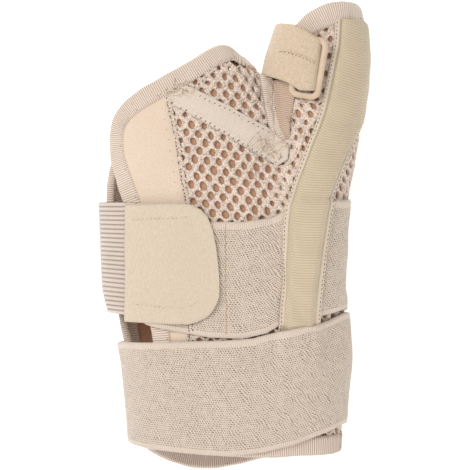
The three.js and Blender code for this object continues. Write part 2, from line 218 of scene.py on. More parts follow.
class Surface:
    """Rings along Y. A place on it is a ring index, which may be a fraction, and y."""

    def __init__(self, rings):
        self.x = np.array([r[:, 0] for r in rings])
        self.z = np.array([r[:, 1] for r in rings])
        dx, dz = np.roll(self.x, -1, 1) - self.x, np.roll(self.z, -1, 1) - self.z
        self.step = np.hypot(dx, dz).sum(1) / RING
        self.right = self.x.argmax(1)

    def row(self, y):
        k = np.clip((np.asarray(y, float) - ROWS[0]), 0, len(ROWS) - 1.001)
        return k.astype(int), k - k.astype(int)

    def in_row(self, k, index):
        i = np.floor(index).astype(int)
        f = index - i
        a, b = i % RING, (i + 1) % RING
        return (self.x[k, a] * (1 - f) + self.x[k, b] * f,
                self.z[k, a] * (1 - f) + self.z[k, b] * f)

    def flat(self, index, y):
        index, y = paired(index, y)
        k, f = self.row(y)
        xa, za = self.in_row(k, index)
        xb, zb = self.in_row(k + 1, index)
        return np.stack([xa * (1 - f) + xb * f, y, za * (1 - f) + zb * f], -1)

    def normal(self, index, y):
        index, y = paired(index, y)
        across = self.flat(index + 1.5, y) - self.flat(index - 1.5, y)
        along = self.flat(index, y + 1.5) - self.flat(index, y - 1.5)
        return unit(np.cross(across, along))

    def at(self, index, y, lift=0.0):
        lift = np.asarray(lift, float)
        return self.flat(index, y) + self.normal(index, y) * lift[..., None]

    def find(self, x, y, side="top"):
        """The ring index of a place seen from the palm side, or from the back."""
        x, y = paired(x, y)
        out = np.zeros(x.shape)
        k, f = self.row(y)
        for place in np.ndindex(x.shape):
            found = []
            for row in (k[place], k[place] + 1):
                right = self.right[row]
                if side == "top":
                    xs, steps = self.x[row, :right + 1], np.arange(right + 1.0)
                else:
                    steps = np.arange(RING, right - 1.0, -1.0)
                    xs = self.x[row, steps.astype(int) % RING]
                xs = np.maximum.accumulate(xs)
                found.append(np.interp(x[place], xs, steps))
            out[place] = found[0] * (1 - f[place]) + found[1] * f[place]
        return out

    def at_height(self, z, y):
        """The ring index on the right side where the ring comes down to a height."""
        z, y = paired(z, y)
        out = np.zeros(z.shape)
        k = self.row(y)[0]
        for place in np.ndindex(z.shape):
            right = self.right[k[place]]
            steps = np.arange(right - 50, right + 90)
            zs = np.minimum.accumulate(self.z[k[place], steps % RING])
            out[place] = np.interp(-z[place], -zs, steps)
        return out

    def nearest(self, points):
        """The ring index nearest to each point, in the point's own row."""
        k, f = self.row(points[:, 1])
        index = np.zeros(len(points))
        for a in range(0, len(points), 2000):
            part = slice(a, a + 2000)
            g = f[part, None]
            x = self.x[k[part]] * (1 - g) + self.x[k[part] + 1] * g
            z = self.z[k[part]] * (1 - g) + self.z[k[part] + 1] * g
            far = (x - points[part, 0, None]) ** 2 + (z - points[part, 2, None]) ** 2
            best = far.argmin(1)
            rows = np.arange(len(best))
            before, here, after = (far[rows, (best + d) % RING] for d in (-1, 0, 1))
            bend = np.maximum(before + after - 2 * here, 1e-9)
            index[part] = best + np.clip(0.5 * (before - after) / bend, -0.5, 0.5)
        return index


hand_surface, thumb_surface, whole_surface = (Surface(rings) for rings in make_rings())
JOIN_Y = 161.0


class Mixed:
    """The whole surface up to JOIN_Y, and the hand's own beyond it."""

    def __init__(self, upper):
        self.upper = upper

    def __getattr__(self, name):
        lower, upper = getattr(whole_surface, name), getattr(self.upper, name)

        def choose(first, y, *rest, **named):
            first, y = paired(first, y)
            low, high = lower(first, y, *rest, **named), upper(first, y, *rest, **named)
            pick = y > JOIN_Y
            return np.where(pick[..., None] if low.ndim > pick.ndim else pick, high, low)
        return choose

    def nearest(self, points):
        own, whole = self.upper.nearest(points), whole_surface.nearest(points)
        return np.where(points[:, 1] > JOIN_Y, own, whole)


palm_surface = Mixed(hand_surface)


# Mesh making

def to_metres(points):
    """Scene units. The lowest layers are pressed together, so that none sinks into the floor."""
    points = np.array(points, float)
    z = points[..., 2]
    points[..., 2] = np.where(z < PRESSED, PRESSED * (z + SUNK) / (PRESSED + SUNK), z)
    return (points - SHIFT) * 0.001


class Builder:
    """Collects points and faces of one piece."""

    def __init__(self):
        self.points, self.faces, self.uvs, self.marks, self.count = [], [], [], [], 0

    def add(self, points, faces, uvs=None, mark=0):
        points = np.asarray(points, float).reshape(-1, 3)
        self.points.append(points)
        uvs = np.zeros((len(points), 2)) if uvs is None else np.asarray(uvs, float).reshape(-1, 2)
        self.uvs.append(uvs)
        faces = [[int(i) + self.count for i in f] for f in faces]
        self.faces.extend(faces)
        self.marks.extend(np.broadcast_to(mark, len(faces)).tolist())
        self.count += len(points)

    def make(self, name, *materials):
        """The object of the piece; uvs are by point, in millimetres."""
        mesh = bpy.data.meshes.new(name)
        mesh.from_pydata(to_metres(np.vstack(self.points)).tolist(), [], self.faces)
        layer = mesh.uv_layers.new(name="cloth")
        loops = np.zeros(len(mesh.loops), np.int32)
        mesh.loops.foreach_get("vertex_index", loops)
        layer.data.foreach_set("uv", np.vstack(self.uvs).astype(np.float32)[loops].ravel())
        mesh.polygons.foreach_set("use_smooth", [True] * len(mesh.polygons))
        for material in materials:
            mesh.materials.append(material)
        if len(materials) > 1:
            mesh.polygons.foreach_set("material_index", self.marks)
        mesh.update()
        obj = bpy.data.objects.new(name, mesh)
        bpy.context.scene.collection.objects.link(obj)
        return obj


def grid_faces(rows, columns, first=0, closed_rows=False, closed_columns=False, flip=False):
    r = np.arange(rows if closed_rows else rows - 1)
    c = np.arange(columns if closed_columns else columns - 1)
    i, j = (a.ravel() for a in np.meshgrid(r, c, indexing="ij"))
    n, m = (i + 1) % rows, (j + 1) % columns
    quads = np.stack([i * columns + j, n * columns + j, n * columns + m, i * columns + m], 1)
    if flip:
        quads = quads[:, ::-1]
    return quads + first


def grid_runs(points):
    """Distances along the rows and the columns of a grid of points."""
    return np.stack([run_lengths(points, 0), run_lengths(points, 1)], -1)


def border(rows, columns):
    """The points round a grid, in order."""
    size = rows * columns
    return (list(range(columns)) + list(range(2 * columns - 1, size, columns))
            + list(range(size - 2, size - columns - 1, -1)) + list(range(size - 2 * columns, 0, -columns)))


def add_layers(builder, outer, inner, faces, uv, marks=0):
    """A slab from its outer and inner grids of points."""
    points = np.concatenate([outer.reshape(-1, 3), inner.reshape(-1, 3)])
    builder.add(points, faces, np.tile(uv.reshape(-1, 2), (2, 1)), marks)


def add_slab(builder, surface, index, y, base, thick, edge=0.55, closed=False, wave=None, paint=None,
             uvs=None):
    """A strip of cloth on a surface: rows run along it and columns across it."""
    rows, columns = index.shape
    size = rows * columns
    full = np.broadcast_to(np.asarray(thick, float), index.shape).copy()
    full[:, [0, -1]] *= edge
    if not closed:
        full[[0, -1]] *= edge
    bases = np.broadcast_to(np.asarray(base, float), index.shape)
    outer = surface.at(index, y, bases + full + (0 if wave is None else wave))
    inner = surface.at(index, y, bases)
    uv = grid_runs(outer) if uvs is None else uvs
    faces = [*grid_faces(rows, columns, closed_rows=closed, flip=True)]
    faces += [*grid_faces(rows, columns, size, closed_rows=closed)]
    paint = np.zeros(columns - 1, int) if paint is None else paint.astype(int)
    marks = np.tile(paint, 2 * (rows if closed else rows - 1)).tolist()
    edges = [list(range(0, size, columns)), list(range(columns - 1, size, columns))[::-1]]
    for line in edges if closed else [border(rows, columns)]:
        faces += [[a, b, b + size, a + size] for a, b in zip(line, line[1:] + line[:1])]
    marks += [int(paint[0])] * (len(faces) - len(marks))
    add_layers(builder, outer, inner, faces, uv, marks)
    return outer


def resampled(line, step):
    run = run_lengths(line)
    return along_line(line, run, np.linspace(0, run[-1], max(2, int(round(run[-1] / step)) + 1)))


def inside(polygon, x, y):
    """Whether plan places lie in a polygon."""
    found = np.zeros(np.shape(x), bool)
    for (ax, ay), (bx, by) in zip(polygon, np.roll(polygon, -1, 0)):
        crosses = (ay > y) != (by > y)
        if ay != by:
            found ^= crosses & (x < ax + (y - ay) / (by - ay) * (bx - ax))
    return found


def distance_to(line, x, y):
    """How far plan places are from an open line."""
    best = np.full(np.shape(x), 1e9)
    for a, b in zip(line[:-1], line[1:]):
        d = b - a
        t = np.clip(((x - a[0]) * d[0] + (y - a[1]) * d[1]) / max(d @ d, 1e-9), 0, 1)
        best = np.minimum(best, np.hypot(x - a[0] - t * d[0], y - a[1] - t * d[1]))
    return best


def noise(points, scale, seed):
    """Smooth noise from -1 to 1 at points, a sum of waves."""
    waves = np.random.default_rng(seed)
    total = np.zeros(points.shape[:-1])
    for k in range(7):
        direction = waves.normal(size=3)
        direction *= (0.6 + 0.9 * waves.random()) / scale / np.linalg.norm(direction)
        total += np.sin(points @ direction * 2 * math.pi + waves.random() * 6.3)
    return total / 4


def grid_noise(along, across, scale, seed):
    """Noise over a grid, by the places of its rows and columns."""
    a, b = np.meshgrid(along, across, indexing="ij")
    return noise(np.stack([a, b, 0 * a], -1), scale, seed)


def tube(builder, line, radius, sides=6, taper=0.6, mark=0):
    """A rounded thread along a line of points."""
    line = np.asarray(line, float)
    forward = unit(np.gradient(line, axis=0))
    up = np.tile([0.05, 0.1, 1.0], (len(line), 1))
    side = unit(np.cross(forward, up))
    up = unit(np.cross(side, forward))
    radii = np.full(len(line), float(radius))
    radii[[0, -1]] *= taper
    turn = np.linspace(0, 2 * math.pi, sides, endpoint=False)
    around = (np.cos(turn)[None, :, None] * side[:, None] + np.sin(turn)[None, :, None] * up[:, None])
    points = line[:, None] + around * radii[:, None, None]
    last = (len(line) - 1) * sides
    caps = [list(range(sides)), [last + k for k in range(sides - 1, -1, -1)]]
    faces = [*grid_faces(len(line), sides, closed_columns=True), *caps]
    u = np.repeat(run_lengths(line, 0), sides)
    v = np.tile(turn * radius, len(line))
    builder.add(points, faces, np.stack([u, v], 1), mark)


# Materials

class Nodes:
    """Short calls for shader nodes in one material."""

    def __init__(self, name, colour, roughness, sheen=0.0, specular=0.25):
        self.material = bpy.data.materials.new(name)
        self.material.use_nodes = True
        self.tree = self.material.node_tree
        self.shader = self.tree.nodes["Principled BSDF"]
        self.fill(self.shader, {
            "Base Color": colour, "Roughness": roughness, "Specular IOR Level": specular,
            "Sheen Weight": sheen, "Sheen Roughness": 0.5})
        self.uv = self.new("ShaderNodeUVMap", uv_map="cloth").outputs["UV"]
        self.space = self.new("ShaderNodeTexCoord").outputs["Object"]

    def fill(self, node, inputs):
        """Inputs take a value each, or the output of another node."""
        for key, value in inputs.items():
            if isinstance(value, bpy.types.NodeSocket):
                self.tree.links.new(value, node.inputs[key])
            else:
                node.inputs[key].default_value = value

    def new(self, kind, inputs=None, **settings):
        node = self.tree.nodes.new(kind)
        for key, value in settings.items():
            setattr(node, key, value)
        self.fill(node, inputs or {})
        return node

    def maths(self, operation, a, b=0.0):
        return self.new("ShaderNodeMath", {0: a, 1: b}, operation=operation).outputs[0]

    def times(self, a, b):
        return self.maths("MULTIPLY", a, b)

    def plus(self, a, b):
        return self.maths("ADD", a, b)

    def scaled(self, vector, size):
        return self.new("ShaderNodeMapping", {"Vector": vector, "Scale": size}).outputs[0]

    def noise(self, scale, detail=2.0, rough=0.5, vector=None):
        """Noise whose scale is its number of lumps a millimetre."""
        inputs = {"Vector": self.space if vector is None else vector, "Scale": scale * 1000,
                  "Detail": detail, "Roughness": rough}
        return self.new("ShaderNodeTexNoise", inputs).outputs["Fac"]

    def patches(self, scale, detail, low, high):
        """Noise that goes from 0 to 1 between two of its values."""
        return self.between(self.noise(scale, detail), low, high)

    def cells(self, wide, high, jitter):
        """Distance from the middles of cells of a size in millimetres."""
        inputs = {"Vector": self.scaled(self.uv, (1 / wide, 1 / high, 1)), "Scale": 1.0,
                  "Randomness": jitter}
        return self.new("ShaderNodeTexVoronoi", inputs).outputs["Distance"]

    def axis(self, name):
        """Millimetres along the cloth, X or Y."""
        return self.new("ShaderNodeSeparateXYZ", {0: self.uv}).outputs[name]

    def wave(self, angle):
        return self.plus(self.times(self.maths("SINE", angle), 0.5), 0.5)

    def swing(self, turns):
        """A wave from 0 to 1 whose turns are counted by a value."""
        return self.wave(self.times(turns, 2 * math.pi))

    def between(self, value, low, high):
        inputs = {"Value": value, "From Min": low, "From Max": high}
        return self.new("ShaderNodeMapRange", inputs).outputs[0]

    def mixed(self, share, a, b):
        inputs = {"Factor": share, "A": a, "B": b}
        return self.new("ShaderNodeMix", inputs, data_type="RGBA").outputs["Result"]

    def done(self, colour, height, depth, strength):
        """The material, with its colour and relief of a depth in millimetres."""
        inputs = {"Strength": strength, "Distance": depth * 0.001, "Height": height}
        relief = self.new("ShaderNodeBump", inputs).outputs[0]
        self.fill(self.shader, {"Base Color": colour, "Normal": relief})
        return self.material


def shade(red, green, blue):
    """A colour from its screen values, 0 to 255."""
    def linear(c):
        c /= 255
        return c / 12.92 if c <= 0.04045 else ((c + 0.055) / 1.055) ** 2.4
    return (linear(red), linear(green), linear(blue), 1.0)


def dimmed(colour, share):
    return tuple(c * share for c in colour[:3]) + (1.0,)


def cloth_mesh():
    n = Nodes("air_mesh", shade(214, 197, 182), 0.85, 0.25)
    speck = n.plus(n.times(n.noise(1.5, 4, 0.7), 0.75), n.times(n.cells(0.62, 0.8, 0.8), 0.5))
    light = n.mixed(n.patches(0.25, 2, 0.35, 0.65), shade(234, 215, 197), shade(219, 203, 190))
    dark = n.mixed(n.patches(0.9, 2, 0.4, 0.6), shade(140, 114, 98), shade(174, 151, 135))
    colour = n.mixed(n.between(speck, 0.5, 0.86), light, dark)
    return n.done(colour, n.maths("SUBTRACT", 1.0, speck), 0.3, 0.6)


def plain(name, feel, shades, broad, fine, relief):
    """Smooth cloth: broad patches of two shades, and fine marks of a third."""
    n = Nodes(name, shades[0], *feel)
    ground = n.mixed(n.patches(*broad), shades[0], shades[1])
    colour = n.mixed(n.patches(*fine), ground, shades[2])
    return n.done(colour, n.noise(*relief[:2]), *relief[2:])


def ribbed(name, light, dark, pitch, axis, depth, soft=0.25, wobble=0.1):
    n = Nodes(name, light, 0.8, 0.3)
    shift = n.times(n.noise(0.5, 2), wobble * 2 * math.pi)
    rib = n.wave(n.plus(n.times(n.axis(axis), 2 * math.pi / pitch), shift))
    ground = n.mixed(n.patches(0.12, 3, 0.3, 0.75), light, dimmed(light, 0.93))
    # The colour darkens into the grooves between the ribs: painted shade, and the dark colour is that shade
    groove = n.between(n.plus(rib, n.times(n.noise(2.4, 3), soft)), 0.05, 0.75)
    height = n.plus(rib, n.times(n.noise(2.5, 3), 0.5))
    return n.done(n.mixed(groove, dark, ground), height, depth, 0.8)


def knit(name, light, dark, pitch, depth, lean):
    """Knitted elastic: slanting rows of small loops, with painted shade in the eyes between them and in the
    dips between loops, and a painted highlight on the loops.
    """
    n = Nodes(name, light, 0.85, 0.25)
    column = n.plus(n.times(n.axis("X"), 1 / pitch[0]), n.times(n.noise(0.16, 2), 3.4))
    row = n.times(n.axis("Y"), 1 / pitch[1])
    slanted = n.plus(column, n.times(row, lean))
    loop, fuzz = n.swing(n.plus(slanted, 0.4)), n.noise(1.6, 4)
    uneven = n.plus(n.times(n.patches(0.55, 3, 0.25, 0.75), 0.8), 0.45)
    eye = n.times(n.times(n.swing(slanted), n.swing(row)), uneven)
    ground = n.mixed(n.patches(0.06, 3, 0.3, 0.7), light, dimmed(light, 0.92))
    # Painted shade in the dips between the loops, then a painted highlight on their tops
    ground = n.mixed(n.between(n.plus(loop, fuzz), 0.5, 1.5), dimmed(light, 0.86), ground)
    ground = n.mixed(n.between(n.times(loop, fuzz), 0.42, 0.62), ground, dimmed(light, 1.14))
    height = n.plus(n.maths("SUBTRACT", loop, n.times(eye, 1.4)), fuzz)
    # The dark colour fills the eyes as painted shade
    return n.done(n.mixed(n.between(eye, 0.22, 0.85), ground, dark), height, depth, 0.6)


def webbing_cloth(name, light, dark):
    """Elastic with one round rib for each unit across, and dotted grooves between the ribs; its colour
    darkens with the relief into the grooves, as painted shade.
    """
    n = Nodes(name, light, 0.8, 0.3)
    rib = n.swing(n.maths("SUBTRACT", n.axis("Y"), 0.25))
    tooth, fibre = n.swing(n.times(n.axis("X"), 1 / 0.95)), n.noise(2.2, 3)
    height = n.plus(n.plus(rib, n.times(tooth, 0.22)), n.times(fibre, 0.3))
    ground = n.mixed(n.patches(0.1, 3, 0.3, 0.7), light, dimmed(light, 0.92))
    # Painted shade: darker where the relief is low
    colour = n.mixed(n.between(height, 0.25, 0.85), dark, ground)
    return n.done(colour, n.plus(tooth, fibre), 0.12, 0.7)


def pile(name, light, dark, scale, depth, stretch=(1, 1, 1)):
    n = Nodes(name, light, 0.9, 0.4)
    hair = n.noise(scale, 5, 0.6, n.scaled(n.space, stretch))
    ground = n.mixed(n.patches(0.07, 3, 0.3, 0.7), light, dimmed(light, 0.94))
    return n.done(n.mixed(n.between(hair, 0.35, 0.75), dark, ground), hair, depth, 0.6)


def plastic(name, light, dark):
    n = Nodes(name, light, 0.42, specular=0.45)
    n.fill(n.shader, {"Roughness": n.patches(1.2, 3, -0.9, 2.2)})
    return n.done(n.mixed(n.patches(0.15, 3, 0.3, 0.7), light, dark), n.noise(2.5, 3), 0.03, 0.4)


def yarn(name, light, dark):
    n = Nodes(name, light, 0.7, 0.3)
    return n.done(n.mixed(n.patches(3.0, 2, 0.35, 0.65), light, dark), n.noise(4.0, 2), 0.05, 0.5)


MESH = cloth_mesh()
LINING = plain(
    "lining", (0.9, 0.2), (shade(205, 160, 131), shade(188, 150, 120), shade(172, 130, 104)),
    (0.06, 3, 0.35, 0.65), (2.2, 3, 0.3, 0.7), (2.5, 3, 0.15, 0.5))
PANEL = plain(
    "loop_panel", (0.88, 0.35), (shade(221, 202, 181), shade(214, 191, 170), shade(204, 183, 163)),
    (0.05, 2, 0.3, 0.7), (1.6, 4, 0.3, 0.7), (2.0, 4, 0.12, 0.45))
# In the ribbed, webbing and knit cloths below, the second colour is painted shade for their grooves and eyes
BINDING = ribbed("binding", shade(227, 211, 195), shade(160, 132, 113), 0.95, "X", 0.22)
# Painted shade: a darker copy of the binding, for the web tape that lies in shade
SHADED_BINDING = ribbed("shaded_binding", shade(200, 175, 154), shade(155, 125, 106), 0.95, "X", 0.2)
TAPE = ribbed("tape", shade(213, 198, 182), shade(194, 176, 158), 1.0, "X", 0.14, 0.8)
SLEEVE = ribbed("sleeve", shade(203, 186, 160), shade(178, 158, 130), 1.2, "X", 0.15, 0.3, 0.05)
HEM = ribbed("sleeve_hem", shade(214, 198, 178), shade(195, 176, 153), 0.6, "Y", 0.1, 0.5)
WEBBING = webbing_cloth("webbing", shade(204, 190, 178), shade(160, 141, 128))
ELASTIC = knit("elastic", shade(215, 198, 180), shade(108, 87, 72), (1.15, 0.95), 0.32, 0.5)
SELVEDGE = ribbed("selvedge", shade(216, 199, 182), shade(160, 139, 122), 0.92, "X", 0.2, 0.9, 0.25)
TAB = pile("tab", shade(213, 197, 177), shade(194, 177, 155), 1.4, 0.12, (1.6, 0.5, 1))
STRAP = pile("thumb_strap", shade(212, 192, 168), shade(187, 165, 139), 1.1, 0.35)
RING_PLASTIC = plastic("ring", shade(202, 179, 154), shade(192, 168, 143))
THREAD = yarn("thread", shade(232, 216, 194), shade(206, 186, 162))
# Painted shade: dark marks sunk at needle holes, for the shade inside the holes
NEEDLE_HOLE_SHADE = yarn("needle_hole_shade", shade(116, 90, 78), shade(92, 70, 60))
# Painted shadow: a darker copy of the thread, for shade beside threads and stitches and in needle holes
SHADOW_THREAD = yarn("shadow_stitch", shade(182, 150, 124), shade(160, 128, 104))


def finish_piece(obj, node=None):
    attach(obj, "root")
    if node:
        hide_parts(node)
    return obj


def slab_piece(name, slot, node, materials, surface, grid, base, thick, **named):
    """A piece that is one slab of cloth, as in add_slab."""
    builder = Builder()
    add_slab(builder, surface, *grid, base, thick, **named)
    return finish_piece(builder.make(name, *materials), node)


# Places on the cloth

# The splint's box in the photo, in pixels
BOX_LEFT, BOX_LOW, BOX_WIDE, BOX_HIGH = 100, 470, 271, 468


def from_pixels(*pixels):
    """Plan places from places in the photo's frame."""
    p = np.array(pixels, float)
    return np.stack([(p[:, 0] - BOX_LEFT) / BOX_WIDE * WIDTH, (BOX_LOW - p[:, 1]) / BOX_HIGH * LENGTH], 1)


HAND_POLYGON = np.vstack([
    FINGER_RIM, places((1.2, 0.88), (1.2, 0.043)), PALM_WRIST_RIM, PALM_SLIT,
])
BACK_POLYGON = np.vstack([
    BACK_FINGER_RIM, places((1.2, 0.88), (1.2, 0.043)), BACK_WRIST_RIM, BACK_SLIT,
])
THUMB_POLYGON = np.vstack([
    places((0.65, 0.7), (0.65, 0.83)), THUMB_RIM, places((1.2, 0.97), (1.2, 0.7)),
])
MESH_SIDE = np.vstack([PANEL_SEAM, places((1.3, -0.05), (1.3, 1.1), (0.225, 1.1))])


def line_x(line, y):
    order = np.argsort(line[:, 1])
    return np.interp(y, line[order, 1], line[order, 0])


class Chart:
    """Unrolls a surface: s is the distance round it from an anchor line, in millimetres."""

    def __init__(self, surface, anchors, sign, start=0.0):
        self.surface, self.anchors, self.sign, self.start = surface, anchors, sign, start

    def row(self, y):
        """The step between ring indices and the anchor's index."""
        k, f = self.surface.row(y)
        return (values[k] * (1 - f) + values[k + 1] * f for values in (self.surface.step, self.anchors))

    def index(self, s, y):
        step, anchor = self.row(y)
        return anchor + self.sign * (s - self.start) / step

    def distance(self, index, y):
        step, anchor = self.row(y)
        return self.start + self.sign * (index - anchor) * step

    def at(self, s, y, lift=0.0):
        return self.surface.at(self.index(s, y), y, lift)


GUIDE = from_pixels((165, 90), (170, 160), (176, 210), (181, 260), (181, 470))


def guide_chart(surface, line, side, sign):
    return Chart(surface, surface.find(line_x(line, ROWS), ROWS, side), sign)


BACK_GUIDE = np.vstack([BACK_SLIT[::-1], places((0.114, 0.0))])[::-1]
palm_whole = guide_chart(whole_surface, GUIDE, "top", 1)
palm_hand = guide_chart(hand_surface, GUIDE, "top", 1)
back_whole = guide_chart(whole_surface, BACK_GUIDE, "bottom", -1)
back_hand = guide_chart(hand_surface, BACK_GUIDE, "bottom", -1)
thumb_ridge = thumb_surface.z.argmax(1).astype(float)
thumb_keel = thumb_surface.z.argmin(1).astype(float)


def join_distance(chart, ridge, side):
    k = int(JOIN_Y - ROWS[0])
    x = thumb_surface.x[k, int(ridge[k])]
    return float(chart.distance(whole_surface.find([x], [JOIN_Y], side), np.array([JOIN_Y]))[0])


thumb_top = Chart(thumb_surface, thumb_ridge, 1, join_distance(palm_whole, thumb_ridge, "top"))
thumb_back = Chart(thumb_surface, thumb_keel, -1, join_distance(back_whole, thumb_keel, "bottom"))


def eased_step(value, low, high):
    t = np.clip((value - low) / (high - low), 0, 1)
    return t * t * (3 - 2 * t)


# The air mesh: a staggered net of cells with a hole each

PITCH_S, PITCH_Y, DIP = 5.3, 3.8, -0.13
HOLE = (1.4, 1.86)
CORNER_Y = (PITCH_Y ** 2 - (PITCH_S / 2) ** 2) / (2 * PITCH_Y)
CORNERS = np.array([
    (PITCH_S / 2, -CORNER_Y), (PITCH_S / 2, CORNER_Y), (0, PITCH_Y - CORNER_Y),
    (-PITCH_S / 2, CORNER_Y), (-PITCH_S / 2, -CORNER_Y), (0, CORNER_Y - PITCH_Y),
])
HEXAGON = np.stack([CORNERS, (CORNERS + np.roll(CORNERS, -1, 0)) / 2], 1).reshape(-1, 2)

# Seams that draw the net together, each with its reach in millimetres
GATHERS = [
    (PANEL_SEAM, 2.4), (from_pixels((168, 96), (202, 108), (268, 146), (285, 158)), 5.0),
    (from_pixels((262, 80), (285, 130), (292, 150)), 6.0),
    (from_pixels((296, 100), (312, 112), (300, 130)), 3.0), (from_pixels((200, 85), (232, 60)), 2.0),
    (from_pixels((314, 50), (330, 24)), 2.5), (from_pixels((328, 48), (326.5, 73), (320, 98)), 3.0),
    (from_pixels((288, 166), (283, 190), (280, 216)), 3.2),
    (from_pixels((300, 136), (304, 122), (312, 104)), 2.0),
]


def gathered(points):
    """From 0 to 1, how much the net is drawn together by a seam close by."""
    x, y = points[:, 0], points[:, 1]
    near = [np.exp(-np.maximum(distance_to(line, x, y) - half, 0) / 1.6) for line, half in GATHERS]
    return np.max(near, 0) * (points[:, 2] > SPLIT)


def add_net(builder, chart, s_span, y_span, keep, seed):
    """Cells of the net over a span of a chart, where keep says so of their middles."""
    low, high = y_span
    rows = np.arange(math.floor((low - 40) / PITCH_Y), math.ceil((high + 50) / PITCH_Y))
    columns = np.arange(math.floor(s_span[0] / PITCH_S), math.ceil(s_span[1] / PITCH_S) + 1)
    r, c = (a.ravel() for a in np.meshgrid(rows, columns, indexing="ij"))
    s = (c + 0.5 * (r % 2)) * PITCH_S
    y = r * PITCH_Y + DIP * s
    fits = (y > low) & (y <= high) & (s > s_span[0]) & (s < s_span[1])
    s, y = s[fits], y[fits]
    kept = keep(chart.at(s, y))
    s, y = s[kept], y[kept]
    draws = np.random.default_rng(seed)
    size = 1 + 0.06 * draws.normal(size=(len(s), 2)).clip(-1.6, 1.6)
    size *= 1 - 0.34 * gathered(chart.at(s, y))[:, None] * (0.6 + 0.8 * draws.random((len(s), 2)))
    shift = 0.1 * draws.normal(size=(len(s), 2)).clip(-1.8, 1.8)
    angle = np.arctan2(HEXAGON[:, 1], HEXAGON[:, 0])
    oval = np.stack([np.cos(angle) * HOLE[0], np.sin(angle) * HOLE[1]], 1)
    rings, lifts = [], []
    for share, scale, lift in ((0.0, 1.0, 0.42), (0.45, 1.0, 0.36), (1.0, 1.0, 0.0), (1.0, 0.97, -1.3)):
        hole = oval[None] * size[:, None] * scale + shift[:, None]
        rings.append(HEXAGON[None] * (1 - share) + hole * share)
        lifts.append(lift)
    local = np.stack(rings, 1)
    at_s = s[:, None, None] + local[..., 0]
    at_y = y[:, None, None] + local[..., 1] + DIP * local[..., 0]
    wander = np.stack([at_s, at_y, 0 * at_s], -1)
    at_s = at_s + 0.22 * noise(wander, 9.0, 3)
    at_y = at_y + 0.2 * noise(wander, 8.0, 4)
    heights = np.broadcast_to(np.array(lifts)[None, :, None], at_s.shape)
    heights = heights + 0.09 * noise(wander, 3.1, 5)
    under = line_x(PANEL_SEAM, at_y) - chart.at(at_s, at_y)[..., 0]
    pressed = eased_step(under, -1.2, 0.6) if chart in (palm_whole, palm_hand) else 0.0
    points = chart.at(at_s, at_y, heights - 0.9 * pressed)
    sides = len(HEXAGON)
    one = grid_faces(4, sides, closed_columns=True)
    quads = (one[None] + (np.arange(len(s)) * 4 * sides)[:, None, None]).reshape(-1, 4)
    spots, same = np.unique(
        np.round(points.reshape(-1, 3), 2), axis=0, return_index=True, return_inverse=True)[1:]
    uv = np.stack([at_s, at_y], -1).reshape(-1, 2)[spots]
    builder.add(points.reshape(-1, 3)[spots], same.ravel()[quads].tolist(), uv)


EDGE_ROOM = 2.9
PALM_EDGES = [np.vstack([FINGER_RIM, places((1.2, 0.88))]), np.vstack([PALM_WRIST_RIM, PALM_SLIT])]
BACK_EDGES = [np.vstack([BACK_FINGER_RIM, places((1.2, 0.88))]), BACK_WRIST_RIM, BACK_SLIT]
TIP_EDGES = [np.vstack([THUMB_RIM, places((1.2, 0.97))])]


def clear_of(edges, x, y):
    return np.all([distance_to(line, x, y) > EDGE_ROOM for line in edges], axis=0)


def on_mesh_side(x, y):
    return inside(MESH_SIDE, x + 3.4, y)


def keep_palm(p):
    x, y, z = p[:, 0], p[:, 1], p[:, 2]
    beside_thumb = (y > JOIN_Y) & (y < 168) & (x > 77)
    fits = inside(HAND_POLYGON, x, y) & clear_of(PALM_EDGES, x, y) & on_mesh_side(x, y)
    return (z > SPLIT - 1) & fits & ~beside_thumb


def keep_back(p):
    x, y, z = p[:, 0], p[:, 1], p[:, 2]
    return (z <= SPLIT + 1) & inside(BACK_POLYGON, x, y) & clear_of(BACK_EDGES, x, y)


def keep_thumb(p):
    x, y = p[:, 0], p[:, 1]
    return inside(THUMB_POLYGON, x, y) & clear_of(TIP_EDGES, x, y)


palm_net, back_net = Builder(), Builder()
add_net(palm_net, palm_whole, (-8, 190), (0, JOIN_Y), keep_palm, 11)
add_net(palm_net, palm_hand, (-8, 130), (JOIN_Y, 190), keep_palm, 12)
top_start, back_start = thumb_top.start, thumb_back.start
add_net(palm_net, thumb_top, (top_start - 30, top_start + 28), (JOIN_Y, 207), keep_thumb, 13)
add_net(back_net, back_whole, (-3, 170), (0, JOIN_Y), keep_back, 14)
add_net(back_net, back_hand, (-3, 130), (JOIN_Y, 190), keep_back, 15)
add_net(back_net, thumb_back, (back_start - 28, back_start + 26), (JOIN_Y, 207), keep_thumb, 16)
mesh_palm = finish_piece(palm_net.make("mesh_palm", MESH), "mesh_shell")
mesh_back = finish_piece(back_net.make("mesh_back", MESH), "mesh_shell")


# The lining: a smooth layer under the net, out to the edges under the binding

# The step of the lining's grid, and the lifts of its two faces, each with the way its quads run
LINING_STEP, LINING_FACES = 1.6, ((-1.5, 1), (-2.1, -1))


def add_lining(builder, chart, s_span, y_span, keep):
    s, y = (np.arange(low, high + 0.1, LINING_STEP) for low, high in (s_span, y_span))
    at_s, at_y = np.meshgrid(s, y, indexing="ij")
    kept = keep(chart.at(at_s, at_y, LINING_FACES[0][0]).reshape(-1, 3))
    quads = grid_faces(len(s), len(y), flip=chart.sign > 0)
    quads = quads[kept[quads].all(1)]
    for lift, turn in LINING_FACES:
        points = chart.at(at_s, at_y, np.full(at_s.shape, lift)).reshape(-1, 3)
        used, faces = np.unique(quads[:, ::turn], return_inverse=True)
        uv = np.stack([at_s.ravel(), at_y.ravel()], -1)[used]
        builder.add(points[used], faces.reshape(-1, 4).tolist(), uv)


# Where the rim's web side starts, how far the lining stays inside it there, and where the lining ends
WEB_SIDE, TUCK, LINING_END = (44.0, 172.0), 1.3, (56.5, 173.5)


